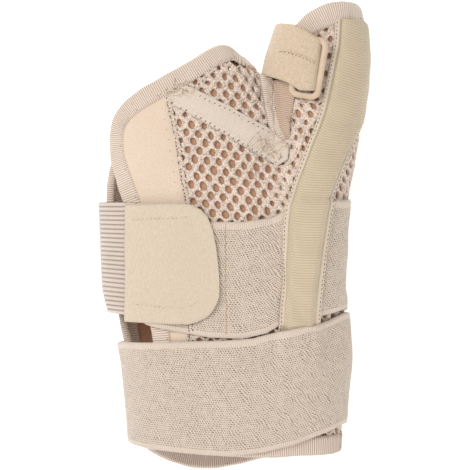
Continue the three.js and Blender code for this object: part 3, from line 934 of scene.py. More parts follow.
def under_rim(p, polygon):
    """Not beyond the rim's tape where it turns round the web side."""
    x, y = p[:, 0], p[:, 1]
    web_side = (x > WEB_SIDE[0]) & (y > WEB_SIDE[1])
    tucked = inside(polygon, x + TUCK, y + TUCK)
    return ((x < LINING_END[0]) | (y < LINING_END[1])) & (tucked | ~web_side)


def keep_palm_lining(p):
    return (p[:, 2] > SPLIT - 3) & inside(HAND_POLYGON, *p.T[:2]) & under_rim(p, HAND_POLYGON)


def keep_back_lining(p):
    return (p[:, 2] <= SPLIT + 3) & inside(BACK_POLYGON, *p.T[:2]) & under_rim(p, BACK_POLYGON)


lining_builder = Builder()
add_lining(lining_builder, palm_whole, (-60, 190), (0, JOIN_Y + 1.6), keep_palm_lining)
add_lining(lining_builder, palm_hand, (-60, 130), (JOIN_Y, 190), keep_palm_lining)
add_lining(lining_builder, thumb_top, (top_start - 32, top_start + 30), (JOIN_Y, 207), keep_thumb)
add_lining(lining_builder, back_whole, (1.2, 175), (0, JOIN_Y + 1.6), keep_back_lining)
add_lining(lining_builder, back_hand, (1.2, 130), (JOIN_Y, 190), keep_back_lining)
add_lining(lining_builder, thumb_back, (back_start - 30, back_start + 28), (JOIN_Y, 207), keep_thumb)


def valley(x, y):
    """The height over the web, which keeps its form past the join, and the hand's own beside it."""
    held = np.minimum(y, JOIN_Y - 2)
    index = whole_surface.find(x, held)
    point, up = whole_surface.flat(index, held), whole_surface.normal(index, held)
    own_index = palm_surface.find(x, y)
    own, own_up = palm_surface.flat(own_index, y), palm_surface.normal(own_index, y)
    web = eased_step(x, 52.0, 66.0)[..., None]
    z = own[..., 2] * (1 - web[..., 0]) + point[..., 2] * web[..., 0]
    return np.stack([x + 0 * z, y + 0 * z, z], -1), unit(own_up * (1 - web) + up * web)


web_x, web_y = np.meshgrid(np.arange(71.0, 89.0, 1.0), np.arange(156.0, 172.6, 1.5), indexing="ij")
web_spot, web_up = valley(web_x, web_y)
for drop, turn in ((-1.55, False), (-2.6, True)):
    lining_builder.add(
        web_spot + web_up * drop, grid_faces(*web_x.shape, flip=turn).tolist(),
        np.stack([web_x, web_y], -1))
lining = finish_piece(lining_builder.make("lining_cloth", LINING), "lining")


# The smooth panel beside the slit

def span(surface, rows_y, left, right, columns):
    """The grid between two lists of plan x, one pair for each y."""
    first, last = surface.find(left, rows_y), surface.find(right, rows_y)
    index = first[:, None] + (last - first)[:, None] * np.linspace(0, 1, columns)
    return index, np.repeat(rows_y[:, None], columns, 1)


PALM_EDGE = np.vstack([PALM_WRIST_RIM[-1:], PALM_SLIT, FINGER_RIM[:5]])
panel_y = np.arange(8.0, 165.1, 1.2)
panel_left = line_x(PALM_EDGE, panel_y) + 0.3
panel_right = np.maximum(line_x(PANEL_SEAM, panel_y) + 0.5, panel_left + 0.5)
panel = slab_piece(
    "loop_panel", "loop_panel", "side_panel", [PANEL], palm_surface,
    span(palm_surface, panel_y, panel_left, panel_right, 22), -1.2, 1.55,
    wave=0.25 * grid_noise(panel_y, np.arange(22.0), 26.0, 21))


# Ribbed tape folded over an edge

def line_on(surface, plan, side):
    """A plan line on the top or back of a surface, as ring indices and y."""
    return surface.find(plan[:, 0], plan[:, 1], side), plan[:, 1]


def round_side(surface, x, y, count):
    """The way round the right side at one y, from the top to the back."""
    ends = [surface.find([x], [y], side)[0] for side in ("top", "bottom")]
    return np.linspace(*ends, count), np.full(count, y)


def chain(surface, *parts):
    index = np.concatenate([np.asarray(p[0], float) for p in parts])
    y = np.concatenate([np.asarray(p[1], float) for p in parts])
    return surface.flat(index, y)


def settled(surface, points):
    """Points moved onto the surface, with their normals."""
    index = surface.nearest(points)
    return surface.flat(index, points[:, 1]), surface.normal(index, points[:, 1])


def add_binding(builder, surface, line, closed, inward, width=BINDING_WIDTH, low=-2.7, high=1.0,
                pitch=0.95, seed=31):
    """A folded tape along an edge. inward is 1 or -1: the side of the line where the cloth is."""
    def ring(line):
        return np.vstack([line, line[:1]]) if closed else line
    last = -1 if closed else None
    line = blurred(resampled(ring(line), 0.5)[:last], 5.0, closed)
    line = resampled(ring(line), pitch / 2)[:last]
    count = len(line)
    centre, normal = settled(surface, line)
    if closed:
        forward = unit(np.roll(centre, -1, 0) - np.roll(centre, 1, 0))
    else:
        forward = unit(np.gradient(centre, axis=0))
    reach = unit(np.cross(normal, forward)) * inward
    steps = np.linspace(0, width, 7)
    at, up, heading = centre, normal, reach
    spots, ups = [centre], [normal]
    for _ in steps[1:]:
        at = at + heading * steps[1]
        at, up = settled(surface, at)
        heading = unit(heading - up * (heading * up).sum(1, keepdims=True))
        spots.append(at)
        ups.append(up)
    spots = blurred(np.stack(spots, 1), 3.0, closed)
    ups = unit(blurred(np.stack(ups, 1), 3.0, closed))
    outward = unit(spots[:, 0] - spots[:, 1])
    run = np.arange(count) * pitch / 2
    soft = 0.16 * grid_noise(run, [0.0], 11.0, seed)[:, 0]
    puff = 0.14 * grid_noise(run, [0.0], 5.0, seed + 1)[:, 0]
    rib = np.where(np.arange(count) % 2, 0.085, -0.085)
    middle, half = (high + low) / 2, (high - low) / 2
    # The section of the tape: steps across it, lift and reach past the edge, over the top, round and back
    profile = [(k, high - (0.35 if k == 6 else 0.0), 0.0) for k in range(6, -1, -1)]
    for angle in map(math.radians, (60, 25, -10, -45, -75)):
        profile.append((0, middle + half * math.sin(angle), (half * 0.62) * math.cos(angle)))
    profile += [(k, low, 0.0) for k in range(7)]
    profile += [(k, low + up, 0.0) for k, up in ((6, 0.7), (4, 0.75), (2, 0.75), (1, 0.9))]
    profile += [(k, high - down, 0.0) for k, down in ((1, 0.9), (2, 0.8), (4, 0.8), (6, 0.95))]
    rings = []
    for k, lift, out in profile:
        outer = lift > high - 0.5 or out > 0
        height = lift + (rib + soft * (1 if k else 0.6) + puff * (k in (2, 3, 4)) if outer else 0)
        push = out + (rib + soft if out > 0 else 0)
        rings.append(spots[:, k] + ups[:, k] * np.asarray(height)[..., None]
                     + outward * np.asarray(push)[..., None])
    points = np.stack(rings, 1)
    sides = len(profile)
    faces = grid_faces(count, sides, closed_rows=closed, closed_columns=True, flip=inward < 0).tolist()
    if not closed:
        caps = [list(range(sides)), [(count - 1) * sides + k for k in range(sides)][::-1]]
        faces += caps if inward < 0 else [c[::-1] for c in caps]
    u = np.repeat(run[:, None], sides, 1)
    builder.add(points, faces, np.stack([u, run_lengths(points, 1)], -1))
    return spots, ups


peak = FINGER_RIM[-1]
rim_line = np.vstack([
    chain(palm_surface, *(line_on(palm_surface, line, "top")
                          for line in (PALM_WRIST_RIM, PALM_SLIT, FINGER_RIM))),
    chain(palm_surface, round_side(hand_surface, peak[0], peak[1], 24)),
    *(chain(palm_surface, line_on(palm_surface, line[::-1], "bottom"))
      for line in (BACK_FINGER_RIM[:-1], BACK_SLIT, BACK_WRIST_RIM)),
    chain(palm_surface, round_side(whole_surface, 0.88 * WIDTH, 0.043 * LENGTH, 16))[::-1],
])
rim_builder = Builder()
rim_spots, rim_ups = add_binding(rim_builder, palm_surface, rim_line, True, -1)
rim = finish_piece(rim_builder.make("rim_tape", BINDING), "rim_binding")

tip_rim = np.vstack([places((0.676, 0.84)), THUMB_RIM])
tip_line = np.vstack([chain(thumb_surface, part) for part in (
    line_on(thumb_surface, tip_rim, "top"), round_side(thumb_surface, *THUMB_RIM[-1], 24),
    line_on(thumb_surface, tip_rim[::-1], "bottom"))])
tip_builder = Builder()
tip_spots, tip_ups = add_binding(tip_builder, thumb_surface, tip_line, False, -1, 8.8, seed=41)
tip = finish_piece(tip_builder.make("thumb_tape", BINDING), "thumb_binding")


# The two tapes of the web notch, which meet in a crease

def add_plan_strip(builder, left, right, columns, lift, thick, step=0.4, crown=0.0, ruck=0.0, seed=51,
                   rise=None, mark=0):
    """A strip between two plan lines, laid over the web."""
    rows = int(np.linalg.norm(np.diff(left, axis=0), axis=1).sum() / step)
    along = np.linspace(0, 1, rows)

    def eased(line):
        run = run_lengths(line)
        return blurred(along_line(line, run, along * run[-1]), 2.0 / step)
    left, right = eased(left), eased(right)
    share = np.linspace(0, 1, columns)
    plan = left[:, None] + (right - left)[:, None] * share[:, None]
    point, normal = valley(plan[..., 0], plan[..., 1])
    bulge = crown * np.sin(share * math.pi)[None, :]
    rumple = ruck * noise(point, 4.0, seed)
    if rise is not None:
        change = rise(along[:, None], share[None, :]) + 0 * point[..., 2]
        point = point + normal * change[..., None]
    edge = np.where((share == 0) | (share == 1), 0.5, 1.0)[None, :]
    outer = point + normal * ((lift + thick * edge + bulge + rumple)[..., None])
    inner = point + normal * lift
    size = rows * columns
    faces = [*grid_faces(rows, columns)] + [*grid_faces(rows, columns, size, flip=True)]
    ring = border(rows, columns)
    faces += [[b, a, a + size, b + size] for a, b in zip(ring, ring[1:] + ring[:1])]
    add_layers(builder, outer, inner, faces, grid_runs(outer), mark)


def sinking(along, share):
    """Both ends turn down: over the notch's edge, and under the patch."""
    return -1.5 * eased_step(along, 0.78, 1.0) - 4.0 * (1 - eased_step(along, 0.0, 0.085)) ** 2 + 0 * share


web_builder = Builder()
add_plan_strip(
    web_builder,
    from_pixels((257, 71), (260.5, 90), (263, 106), (266, 120), (270, 134), (276, 146)),
    from_pixels((274, 77), (276, 95), (277, 108), (279.5, 119), (283, 131), (288, 143)),
    12, 0.55, 0.8, crown=0.6, ruck=0.3, rise=sinking)
# The second tape takes the darker binding (mark 1), as painted shade where it turns in beside the first
add_plan_strip(
    web_builder,
    from_pixels((274.5, 77), (276, 95), (277, 109), (279.5, 120), (282, 131), (284, 142)),
    from_pixels((297, 76), (296, 94), (293.5, 108), (291.5, 121), (290.5, 133), (291, 146)),
    12, 0.5, 0.7, crown=0.3, ruck=0.3, seed=52, rise=sinking, mark=1)
web = finish_piece(web_builder.make("web_notch_tape", BINDING, SHADED_BINDING), "thumb_binding")


# The diagonal tape and its rounded patch

def patched(along, share):
    """Tucked under the rim's tape at one end, doubled and puckered over the web at the other."""
    tucked = -1.0 * (1 - eased_step(along, 0.02, 0.16))
    places_on = np.stack(np.broadcast_arrays(along * 60, share * 9, 0 * along * share), -1)
    pucker = 0.3 * eased_step(along, 0.66, 0.85) * noise(places_on, 2.6, 54)
    return tucked + 0.35 * eased_step(along, 0.655, 0.672) + pucker


diagonal_builder = Builder()
add_plan_strip(
    diagonal_builder,
    from_pixels(
        (158, 99), (168, 103), (185, 112), (202, 122), (229, 138), (248, 150), (262, 158), (272, 164),
        (279, 166.5)),
    from_pixels(
        (173, 80), (186, 85.5), (202, 93), (229, 107), (254, 121), (270, 130), (283, 138), (291, 147),
        (289, 160)),
    12, 0.6, 0.75, crown=0.15, ruck=0.14, seed=53, rise=patched)
diagonal_tape = finish_piece(diagonal_builder.make("diagonal_tape", TAPE), "web_tape")


# The sleeve of the stay

sleeve_surface = Mixed(thumb_surface)
SLEEVE_LEFT = from_pixels(
    (335, 14), (334.5, 30), (333.5, 44), (330, 62), (327, 78), (323, 98), (318.5, 115), (313, 131),
    (307, 146), (299.5, 167), (292.5, 186), (287.5, 205), (285.5, 225), (285, 245), (283, 268),
    (281, 285), (279, 305), (278, 330), (277, 365))
SLEEVE_RIGHT = from_pixels(
    (371, 60), (370, 90), (364.5, 112), (358.5, 130), (353.5, 143), (348.5, 155), (343.5, 168), (337.5, 184),
    (332.5, 198), (329.5, 211),
    (327, 231), (324.5, 251), (322, 275), (320, 296), (318, 325), (317, 365))
sleeve_y = np.arange(46.0, 198.01, 0.3)
sleeve_from = sleeve_surface.find(line_x(SLEEVE_LEFT, sleeve_y), sleeve_y)
sleeve_to_plan = sleeve_surface.find(line_x(SLEEVE_RIGHT, sleeve_y), sleeve_y)
sleeve_to_side = sleeve_surface.at_height(29.5, sleeve_y)
turns = eased_step(sleeve_y, 147.0, 166.0)
sleeve_to = sleeve_to_plan * (1 - turns) + sleeve_to_side * turns
ring_step = np.where(
    sleeve_y > JOIN_Y, np.interp(sleeve_y, ROWS, thumb_surface.step),
    np.interp(sleeve_y, ROWS, whole_surface.step))
sleeve_width = (sleeve_to - sleeve_from) * ring_step
HEM_STEPS = np.array([0.0, 0.3, 0.8, 1.3, 1.8, 2.0])
hem_columns = len(HEM_STEPS)
wide = sleeve_width[:, None]
hem = HEM_STEPS[-1]
between_hems = hem + (wide - 2 * hem) * np.linspace(0, 1, 24)[1:-1]
across = np.hstack([HEM_STEPS + 0 * wide, between_hems, wide - HEM_STEPS[::-1]])
COLUMNS = across.shape[1]
share = across / wide
sleeve_index = sleeve_from[:, None] + (sleeve_to - sleeve_from)[:, None] * share
sleeve_rows = np.repeat(sleeve_y[:, None], COLUMNS, 1)
tip_fall = np.interp(share, [0, 0.3, 0.6, 1.0], [-1.6, -1.2, -1.8, -6.0])
upper = eased_step(sleeve_y, 170, 198)[:, None]
sleeve_rows = sleeve_rows + upper * tip_fall
from_edge = np.minimum(across, wide - across)
raised = eased_step(from_edge, 1.9, 4.8)
over_band = (eased_step(sleeve_y, 60.5, 64.5) * (1 - eased_step(sleeve_y, 115.5, 119.0)))[:, None]
rib_wave = 0.11 * np.sin(2 * math.pi * (sleeve_rows - 0.1 * share * 16) / 1.2)
ribbed_part = eased_step(from_edge, 1.9, 2.5)
pull = 0.25 * noise(sleeve_surface.flat(sleeve_index, sleeve_rows), 14.0, 61)
sleeve_lift = 0.3 + 2.0 * over_band
lower_part = 1 - eased_step(sleeve_y, 118.0, 140.0)
sleeve_thick = 0.8 + (1.0 + 0.9 * lower_part[:, None]) * raised + pull * raised
hem_paint = np.zeros(COLUMNS - 1)
hem_paint[:hem_columns - 1] = 1
hem_paint[1 - hem_columns:] = 1
sleeve_builder = Builder()
sleeve_top = add_slab(
    sleeve_builder, sleeve_surface, sleeve_index, sleeve_rows, sleeve_lift, sleeve_thick,
    edge=0.45, wave=rib_wave * ribbed_part, paint=hem_paint)
sleeve = finish_piece(sleeve_builder.make("sleeve_cover", SLEEVE, HEM), "stay_sleeve")


# The middle strap: elastic webbing, knit band and hook tab

def line_y(line, x):
    return line_x(line[:, ::-1], x)


STRAP_WIDTH = 50.0


def selvedge(share, depth, wide):
    """The depth of an elastic's thin edges, by the shares across it."""
    return depth * (np.minimum(share, 1 - share) * STRAP_WIDTH < wide)


def strap_grid(surface, around, y, low_line, top_line, columns, rising=False):
    """Ring indices and y of a strap between two plan lines, and the shares across it."""
    x = surface.flat(around, y)[:, 0]
    x = np.maximum.accumulate(x) if rising else x
    low, top = line_y(low_line, x), line_y(top_line, x)
    share = np.linspace(0, 1, columns)
    strap_y = low[:, None] + (top - low)[:, None] * share
    return np.repeat(around[:, None], columns, 1), strap_y, share


WEBBING_TOP = places((-0.2, 0.572), (0.5, 0.573), (1.1, 0.579))
WEBBING_LOW = places((-0.2, 0.345), (0.02, 0.338), (0.1, 0.331), (0.5, 0.335), (1.1, 0.36))
# Webbing and band: where each starts under the tab in plan x, and the height on the right where it ends
MIDDLE_Y = 94.0
WEBBING_START, WEBBING_END = 17.0, 18.5
BAND_START, BAND_END = 16.0, 19.5
front_end = whole_surface.find([WEBBING_START], [MIDDLE_Y])[0]
side_end = whole_surface.at_height(WEBBING_END, [MIDDLE_Y])[0]
around = np.linspace(front_end, side_end - RING, 170)
ribs_across = 25
webbing_index, webbing_y, share = strap_grid(
    whole_surface, around, MIDDLE_Y, WEBBING_LOW, WEBBING_TOP, ribs_across * 6 + 1)
crest = np.abs(np.sin(math.pi * ribs_across * share)) ** 0.6
webbing_run = run_lengths(whole_surface.flat(webbing_index, webbing_y), 0)
webbing_uv = np.stack([webbing_run, 0 * webbing_run + share * ribs_across], -1)
webbing = slab_piece(
    "ribbed_webbing", "webbing", "strap_webbing", [WEBBING], whole_surface, (webbing_index, webbing_y),
    1.2, 1.35, wave=0.6 * (crest - 0.75)[None, :], edge=0.8, uvs=webbing_uv)

BAND_TOP = from_pixels(
    (110, 222), (215, 222), (240, 222), (262, 219), (275, 216), (285, 211), (300, 205), (331, 200.5),
    (346, 199), (400, 199))
BAND_LOW = from_pixels(
    (110, 322), (133, 322), (145, 326), (165, 331), (200, 337), (235, 338.5), (262, 333), (277, 325),
    (300, 320), (319, 316), (340, 311), (400, 302))
band_first = whole_surface.find([BAND_START], [MIDDLE_Y])[0]
band_around = np.linspace(band_first, whole_surface.at_height(BAND_END, [MIDDLE_Y])[0], 150)
band_index, band_y, share = strap_grid(
    whole_surface, band_around, MIDDLE_Y, BAND_LOW, BAND_TOP, 60, rising=True)
thin = selvedge(share, 0.12, 2.7)
band_points = whole_surface.flat(band_index, band_y)
slack = 0.3 * noise(band_points, 22.0, 71)
band_base = 0.45 + 0.9 * (distance_to(PALM_EDGE, band_points[..., 0], band_y) < 8.5)
band = slab_piece(
    "knit_band", "elastic", "loop_band", [ELASTIC, SELVEDGE], whole_surface, (band_index, band_y),
    blurred(band_base, 2.0), 1.5, wave=slack - thin[None, :], paint=thin[1:] > 0)

TAB_TOP = from_pixels(
    (128.5, 204), (150, 203.5), (175, 203), (190, 204), (201, 209.5), (208, 217), (213, 230), (216, 245),
    (218, 262), (219.3, 278), (219.5, 290))
TAB_LOW = from_pixels(
    (128.5, 320), (150, 321.5), (164, 322.5), (189, 323.5), (198, 321), (207, 316.5), (213, 310.5),
    (217, 303), (219.2, 296), (219.5, 290))
tab_share = np.sin(np.linspace(0, 0.5, 90) * math.pi)
tab_x0, tab_x1 = TAB_TOP[0, 0], TAB_TOP[-1, 0]
tab_x = tab_x0 + (tab_x1 - tab_x0) * tab_share
tab_low, tab_top = line_y(TAB_LOW, tab_x), line_y(TAB_TOP, tab_x)
share = np.linspace(0, 1, 50)
tab_y = tab_low[:, None] + np.maximum(tab_top - tab_low, 0.2)[:, None] * share
tab_index = whole_surface.find(np.repeat(tab_x[:, None], 50, 1), tab_y)
tab = slab_piece(
    "hook_tab_cloth", "tab", "hook_tab", [TAB], whole_surface, (tab_index, tab_y), 2.5, 1.5,
    wave=0.3 * noise(whole_surface.flat(tab_index, tab_y), 30.0, 81))


# The wrist strap, right round the wrist

WRIST_TOP = from_pixels(
    (60, 341), (122, 341), (155, 342), (187, 341), (230, 340), (255, 338), (270, 334), (290, 329), (310, 324),
    (325, 320), (342, 313), (400, 309))
WRIST_LOW = from_pixels(
    (60, 440), (123, 440), (133, 445), (146, 448.5), (170, 451.5), (200, 454.5), (230, 456), (262, 452.5),
    (295, 445), (330, 431), (343, 424), (400, 418))
WRIST_Y = 35.0
strap_index, strap_y, share = strap_grid(
    whole_surface, np.linspace(0, RING, 240, endpoint=False), WRIST_Y, WRIST_LOW, WRIST_TOP, 90)
strap_points = whole_surface.flat(strap_index, strap_y)
on_top = strap_points[..., 2] > SPLIT
strap_x = strap_points[..., 0]
over_sleeve = eased_step(strap_x, 76.0, 80.0) * (1 - eased_step(strap_x, 93.0, 97.0))
over_sleeve = over_sleeve * eased_step(strap_y, 38.0, 48.0) * on_top
wave = 0.35 * noise(strap_points, 30.0, 91)
thin = selvedge(share, 0.15, 2.8)
strap = slab_piece(
    "wrist_elastic", "elastic", "wrist_strap", [ELASTIC, SELVEDGE], whole_surface, (strap_index, strap_y),
    1.25 + 2.1 * over_sleeve, 1.6, closed=True, wave=wave - thin[None, :], paint=thin[1:] > 0)


# The thumb ring and its strap

RING_CENTRE = np.array([0.782 * WIDTH - 1.5, 0.862 * LENGTH - 0.6, 51.6])


def ring_line(width=11.6, length=24.6, corner=2.8):
    points = []
    for cx, cy, first in ((1, 1, 0), (-1, 1, 90), (-1, -1, 180), (1, -1, 270)):
        for turn in range(0, 91, 15):
            angle = math.radians(first + turn)
            points.append((cx * (width / 2 - corner) + corner * math.cos(angle),
                           cy * (length / 2 - corner) + corner * math.sin(angle)))
    return np.array(points)


def add_ring(builder):
    flat = ring_line()
    flat = resampled(np.vstack([flat, flat[:1]]), 0.6)[:-1]
    forward = unit(np.roll(flat, -1, 0) - np.roll(flat, 1, 0))
    sideways = np.stack([forward[:, 1], -forward[:, 0]], 1)
    turn = np.linspace(0, 2 * math.pi, 16, endpoint=False)
    out = 1.45 * np.sign(np.cos(turn)) * np.abs(np.cos(turn)) ** 0.8
    up = 1.15 * np.sign(np.sin(turn)) * np.abs(np.sin(turn)) ** 0.8
    spots = flat[:, None] + sideways[:, None] * out[None, :, None]
    local = np.concatenate([spots, np.broadcast_to(up[None, :, None], spots.shape[:2] + (1,))], 2)
    tilt, lean = math.radians(12), math.radians(-10)
    x, y, z = local[..., 0], local[..., 1], local[..., 2]
    x, z = x * math.cos(tilt) - z * math.sin(tilt), x * math.sin(tilt) + z * math.cos(tilt)
    x, y = x * math.cos(lean) - y * math.sin(lean), x * math.sin(lean) + y * math.cos(lean)
    points = np.stack([x, y, z], -1) + RING_CENTRE
    builder.add(points, grid_faces(len(flat), 16, closed_rows=True, closed_columns=True).tolist())


ring_builder = Builder()
add_ring(ring_builder)
ring = finish_piece(ring_builder.make("thumb_ring_plastic", RING_PLASTIC), "thumb_ring")

STRAP_TOP = from_pixels((262, 30), (280, 27.5), (295, 28.5), (304, 33), (314, 39), (318, 41.5), (323, 46))
STRAP_LOW = from_pixels(
    (255, 76), (259, 76), (266, 77.5), (279, 78), (288, 81), (296, 84), (303, 89), (306, 92), (312, 92),
    (320, 92))
THUMB_STRAP_Y = 176.0
strap_first = thumb_surface.find(from_pixels((319.3, 0))[:, 0], [THUMB_STRAP_Y])[0]
strap_last = thumb_surface.find([95.0], [THUMB_STRAP_Y], "bottom")[0] - RING
strap_around = np.linspace(strap_first, strap_last, 110)
thumb_index, thumb_y, share = strap_grid(
    thumb_surface, strap_around, THUMB_STRAP_Y, STRAP_LOW, STRAP_TOP, 40)
gone = np.linspace(0, 1, 110)
stand = np.interp(gone, [0, 0.05, 0.16, 0.3, 0.45, 0.6, 0.8, 1.0], [3.4, 4.6, 5.2, 4.8, 4.4, 3.4, 2.0, 1.4])
fold = np.interp(gone, [0, 0.02, 0.3, 0.42, 1], [1.0, 2.6, 2.2, 1.6, 1.5])
wave = 0.25 * noise(thumb_surface.flat(thumb_index, thumb_y), 12.0, 95)
thumb_strap = slab_piece(
    "thumb_strap_cloth", "thumb_strap", "thumb_strap", [STRAP], thumb_surface, (thumb_index, thumb_y),
    stand[:, None], fold[:, None], wave=wave)


# Stitches and loose threads, laid on the finished pieces

class Seen:
    """The topmost cloth under a plan place."""

    def __init__(self, *objects):
        points, faces = [], []
        for obj in objects:
            first = len(points)
            points += [v.co[:] for v in obj.data.vertices]
            faces += [[v + first for v in face.vertices] for face in obj.data.polygons]
        self.tree = BVHTree.FromPolygons(points, faces)

    def land(self, plan):
        spots, ups = [], []
        for x, y in plan:
            start = Vector(to_metres((x, y, 90.0)).tolist())
            hit, up = self.tree.ray_cast(start, Vector((0, 0, -1)))[:2]
            spots.append(np.array(hit) * 1000 + SHIFT if hit else (x, y, FLOOR))
            ups.append(np.array(up) if hit else (0, 0, 1))
        spots, ups = np.array(spots, float), np.array(ups, float)
        return spots, ups * np.sign(ups[:, 2:] + 1e-9)


def add_stitches(builder, spots, ways, ups, length, radius, lift=0.05, mark=0):
    """Short rounded stitches at spots, each along its way."""
    side = unit(np.cross(ups, ways))
    ways = unit(np.cross(side, ups))
    along, swell = np.array([-0.5, -0.3, 0.3, 0.5]), np.array([0.4, 1.0, 1.0, 0.4])
    turn = np.linspace(0, 2 * math.pi, 6, endpoint=False)[:, None]
    ring = np.cos(turn) * side[:, None] + np.sin(turn) * ups[:, None]
    lengths = np.broadcast_to(length, len(spots))[:, None, None, None]
    points = (spots + ups * lift)[:, None, None] + ways[:, None, None] * along[:, None, None] * lengths
    points = points + ring[:, None] * (swell * radius)[None, :, None, None]
    one = grid_faces(4, 6, closed_columns=True).tolist()
    caps = [[0, 1, 2, 3, 4, 5], [23, 22, 21, 20, 19, 18]]
    for k in range(len(spots)):
        builder.add(points[k], one + caps, mark=mark)


# Marks of the stitching: plain thread, painted shade of needle holes, and painted shadow beside threads and
# stitches
LIGHT_STITCH, HOLE_SHADE_STITCH, SHADE_STITCH = 0, 1, 2


def plan_row(line, pitch, length, radius, mark, turn=0.0, zigzag=0.0, lift=0.05, seed=1, skip=0.1):
    """A row of stitches along a plan line; turn is in degrees, and zigzag swings it to each side."""
    draws = np.random.default_rng(seed)
    spots = resampled(line, pitch)
    ways = unit(np.gradient(spots, axis=0))
    side = 1 - 2 * (np.arange(len(spots)) % 2)
    angle = np.radians(turn + zigzag * side + 8 * draws.normal(size=len(spots)))
    ways = np.stack([ways[:, 0] * np.cos(angle) - ways[:, 1] * np.sin(angle),
                     ways[:, 0] * np.sin(angle) + ways[:, 1] * np.cos(angle), 0 * angle], 1)
    spots = spots + 0.12 * draws.normal(size=spots.shape)
    kept = draws.random(len(spots)) > skip
    at, ups = seen.land(spots[kept])
    lengths = length * (1 + 0.2 * draws.normal(size=len(at))).clip(0.6, 1.4)
    add_stitches(sewing, at, ways[kept], ups, lengths, radius, lift, mark)


def edge_row(spots, ups, height, every, length, radius, mark, across, seed):
    """Marks along a row of points already on the cloth."""
    draws = np.random.default_rng(seed)
    picked = np.arange(every // 2, len(spots) - 1, every)
    ways = spots[picked + 1] - spots[picked - 1]
    if across:
        ways = np.cross(ups[picked], ways)
    lengths = length * (1 + 0.15 * draws.normal(size=len(picked))).clip(0.6, 1.4)
    add_stitches(sewing, spots[picked], unit(ways), ups[picked], lengths, radius, height, mark)


def loose_thread(line, radius=0.13, lift=0.25, arch=0.0, mark=0, soft=12.0):
    """A thread that lies on the topmost cloth along a plan line, and may rise to an arch."""
    fine = resampled(np.asarray(line), 0.08)
    line = resampled(blurred(fine, min(soft, len(fine) / 6)), 0.3)
    at, ups = seen.land(line)
    share = np.linspace(0, 1, len(at))
    wide = np.pad(at[:, 2], 2, "edge")
    top = np.max([wide[k:k + len(at)] for k in range(5)], 0)
    z = blurred(top, min(3.0, len(at) / 8)) + lift + arch * np.sin(share * math.pi)
    tube(sewing, np.stack([*line.T, z], 1), radius, 5, mark=mark)


seam_y = np.arange(9.0, 163.6, 0.5)
seam_x = line_x(PANEL_SEAM, seam_y)
seam_rough = 0.28 * grid_noise(seam_y, np.arange(7.0) * 0.4, 1.3, 22)
seam = slab_piece(
    "seam_strip", "air_mesh", None, [MESH], palm_surface,
    span(palm_surface, seam_y, seam_x + 0.3, seam_x + 2.5, 7), -0.3, 0.75, wave=seam_rough)

seen = Seen(mesh_palm, lining, panel, seam, rim, tip, web, diagonal_tape, sleeve, webbing, band, tab, strap,
            thumb_strap)
sewing = Builder()
# Along the panel's seam: needle holes, dark as painted shade, a zigzag thread, and a row of painted shade
# marks on the panel's side
for seam_part, seed in ((np.arange(116.0, 163.0), 101), (np.arange(56.5, 64.5), 105)):
    part = np.stack([line_x(PANEL_SEAM, seam_part), seam_part], 1)
    plan_row(part + (0.75, 0), 1.5, 0.9, 0.26, HOLE_SHADE_STITCH, 12, lift=-0.02, seed=seed)
    plan_row(part + (2.5, 0), 2.3, 1.1, 0.3, HOLE_SHADE_STITCH, 25, lift=-0.08, seed=seed + 1)
    plan_row(part + (1.7, 0), 1.1, 1.5, 0.13, LIGHT_STITCH, 90, 35, lift=0.1, seed=seed + 2)
    plan_row(part - (2.3, 0), 4.6, 0.5, 0.24, SHADE_STITCH, 80, lift=-0.08, seed=seed + 3,
             skip=0)

TAPE_TOP = from_pixels((200, 95.5), (229, 109.5), (254, 124), (268, 131))
TAPE_FOOT = from_pixels((172, 104), (202, 120), (229, 136), (262, 156), (276, 163.5))
# Needle holes along the diagonal tape's edges, dark as painted shade
plan_row(TAPE_TOP + (0, -0.3), 2.4, 0.9, 0.2, HOLE_SHADE_STITCH, 60, lift=-0.05, seed=111)
plan_row(TAPE_FOOT + (0, 0.3), 2.4, 1.0, 0.24, HOLE_SHADE_STITCH, 70, lift=-0.05, seed=112)
for line, seed in ((TAPE_TOP[:3] + (0, -1.4), 113), (TAPE_FOOT[:4] + (0.6, 1.5), 114)):
    plan_row(line, 1.2, 1.3, 0.12, LIGHT_STITCH, 90, 30, seed=seed)
plan_row(from_pixels((259, 132), (251, 140), (243, 150)), 1.1, 0.9, 0.14, SHADE_STITCH, 0,
         lift=0.0, seed=115)
plan_row(from_pixels((158, 96), (172, 92), (186, 86), (198, 88)), 1.5, 0.6, 0.2, SHADE_STITCH,
         30, 40, lift=-0.03, seed=116)
plan_row(from_pixels((170, 101), (184, 92), (196, 97)), 1.1, 1.6, 0.12, LIGHT_STITCH, 70, 40,
         lift=0.12, seed=117)
# Needle holes, dark as painted shade
plan_row(from_pixels((195, 87.5), (213, 73), (231, 60)), 2.1, 1.0, 0.26, HOLE_SHADE_STITCH, 5,
         lift=-0.05, seed=118)
STRAP_SEWN = from_pixels((272, 50), (285, 51.5), (300, 56), (316, 64))
sewn = resampled(STRAP_SEWN, 0.85)[3:-1]
swerve = (1 - 2 * (np.arange(len(sewn)) % 2)) * 0.75 * np.clip(np.arange(len(sewn)) / 7, 0.15, 1)
for shift, mark, height in ((0.0, LIGHT_STITCH, 0.16), (0.3, SHADE_STITCH, 0.02)):
    loose_thread(sewn + np.stack([0 * swerve + shift, swerve - shift], 1), 0.15, height,
                 mark=mark, soft=1.2)
for shift, mark in ((0.0, LIGHT_STITCH), (0.7, SHADE_STITCH), (1.6, LIGHT_STITCH)):
    plan_row(from_pixels((224, 226), (224, 280), (225, 333)) + (shift, 0), 1.5, 1.2, 0.15, mark,
             lift=0.04, seed=128)
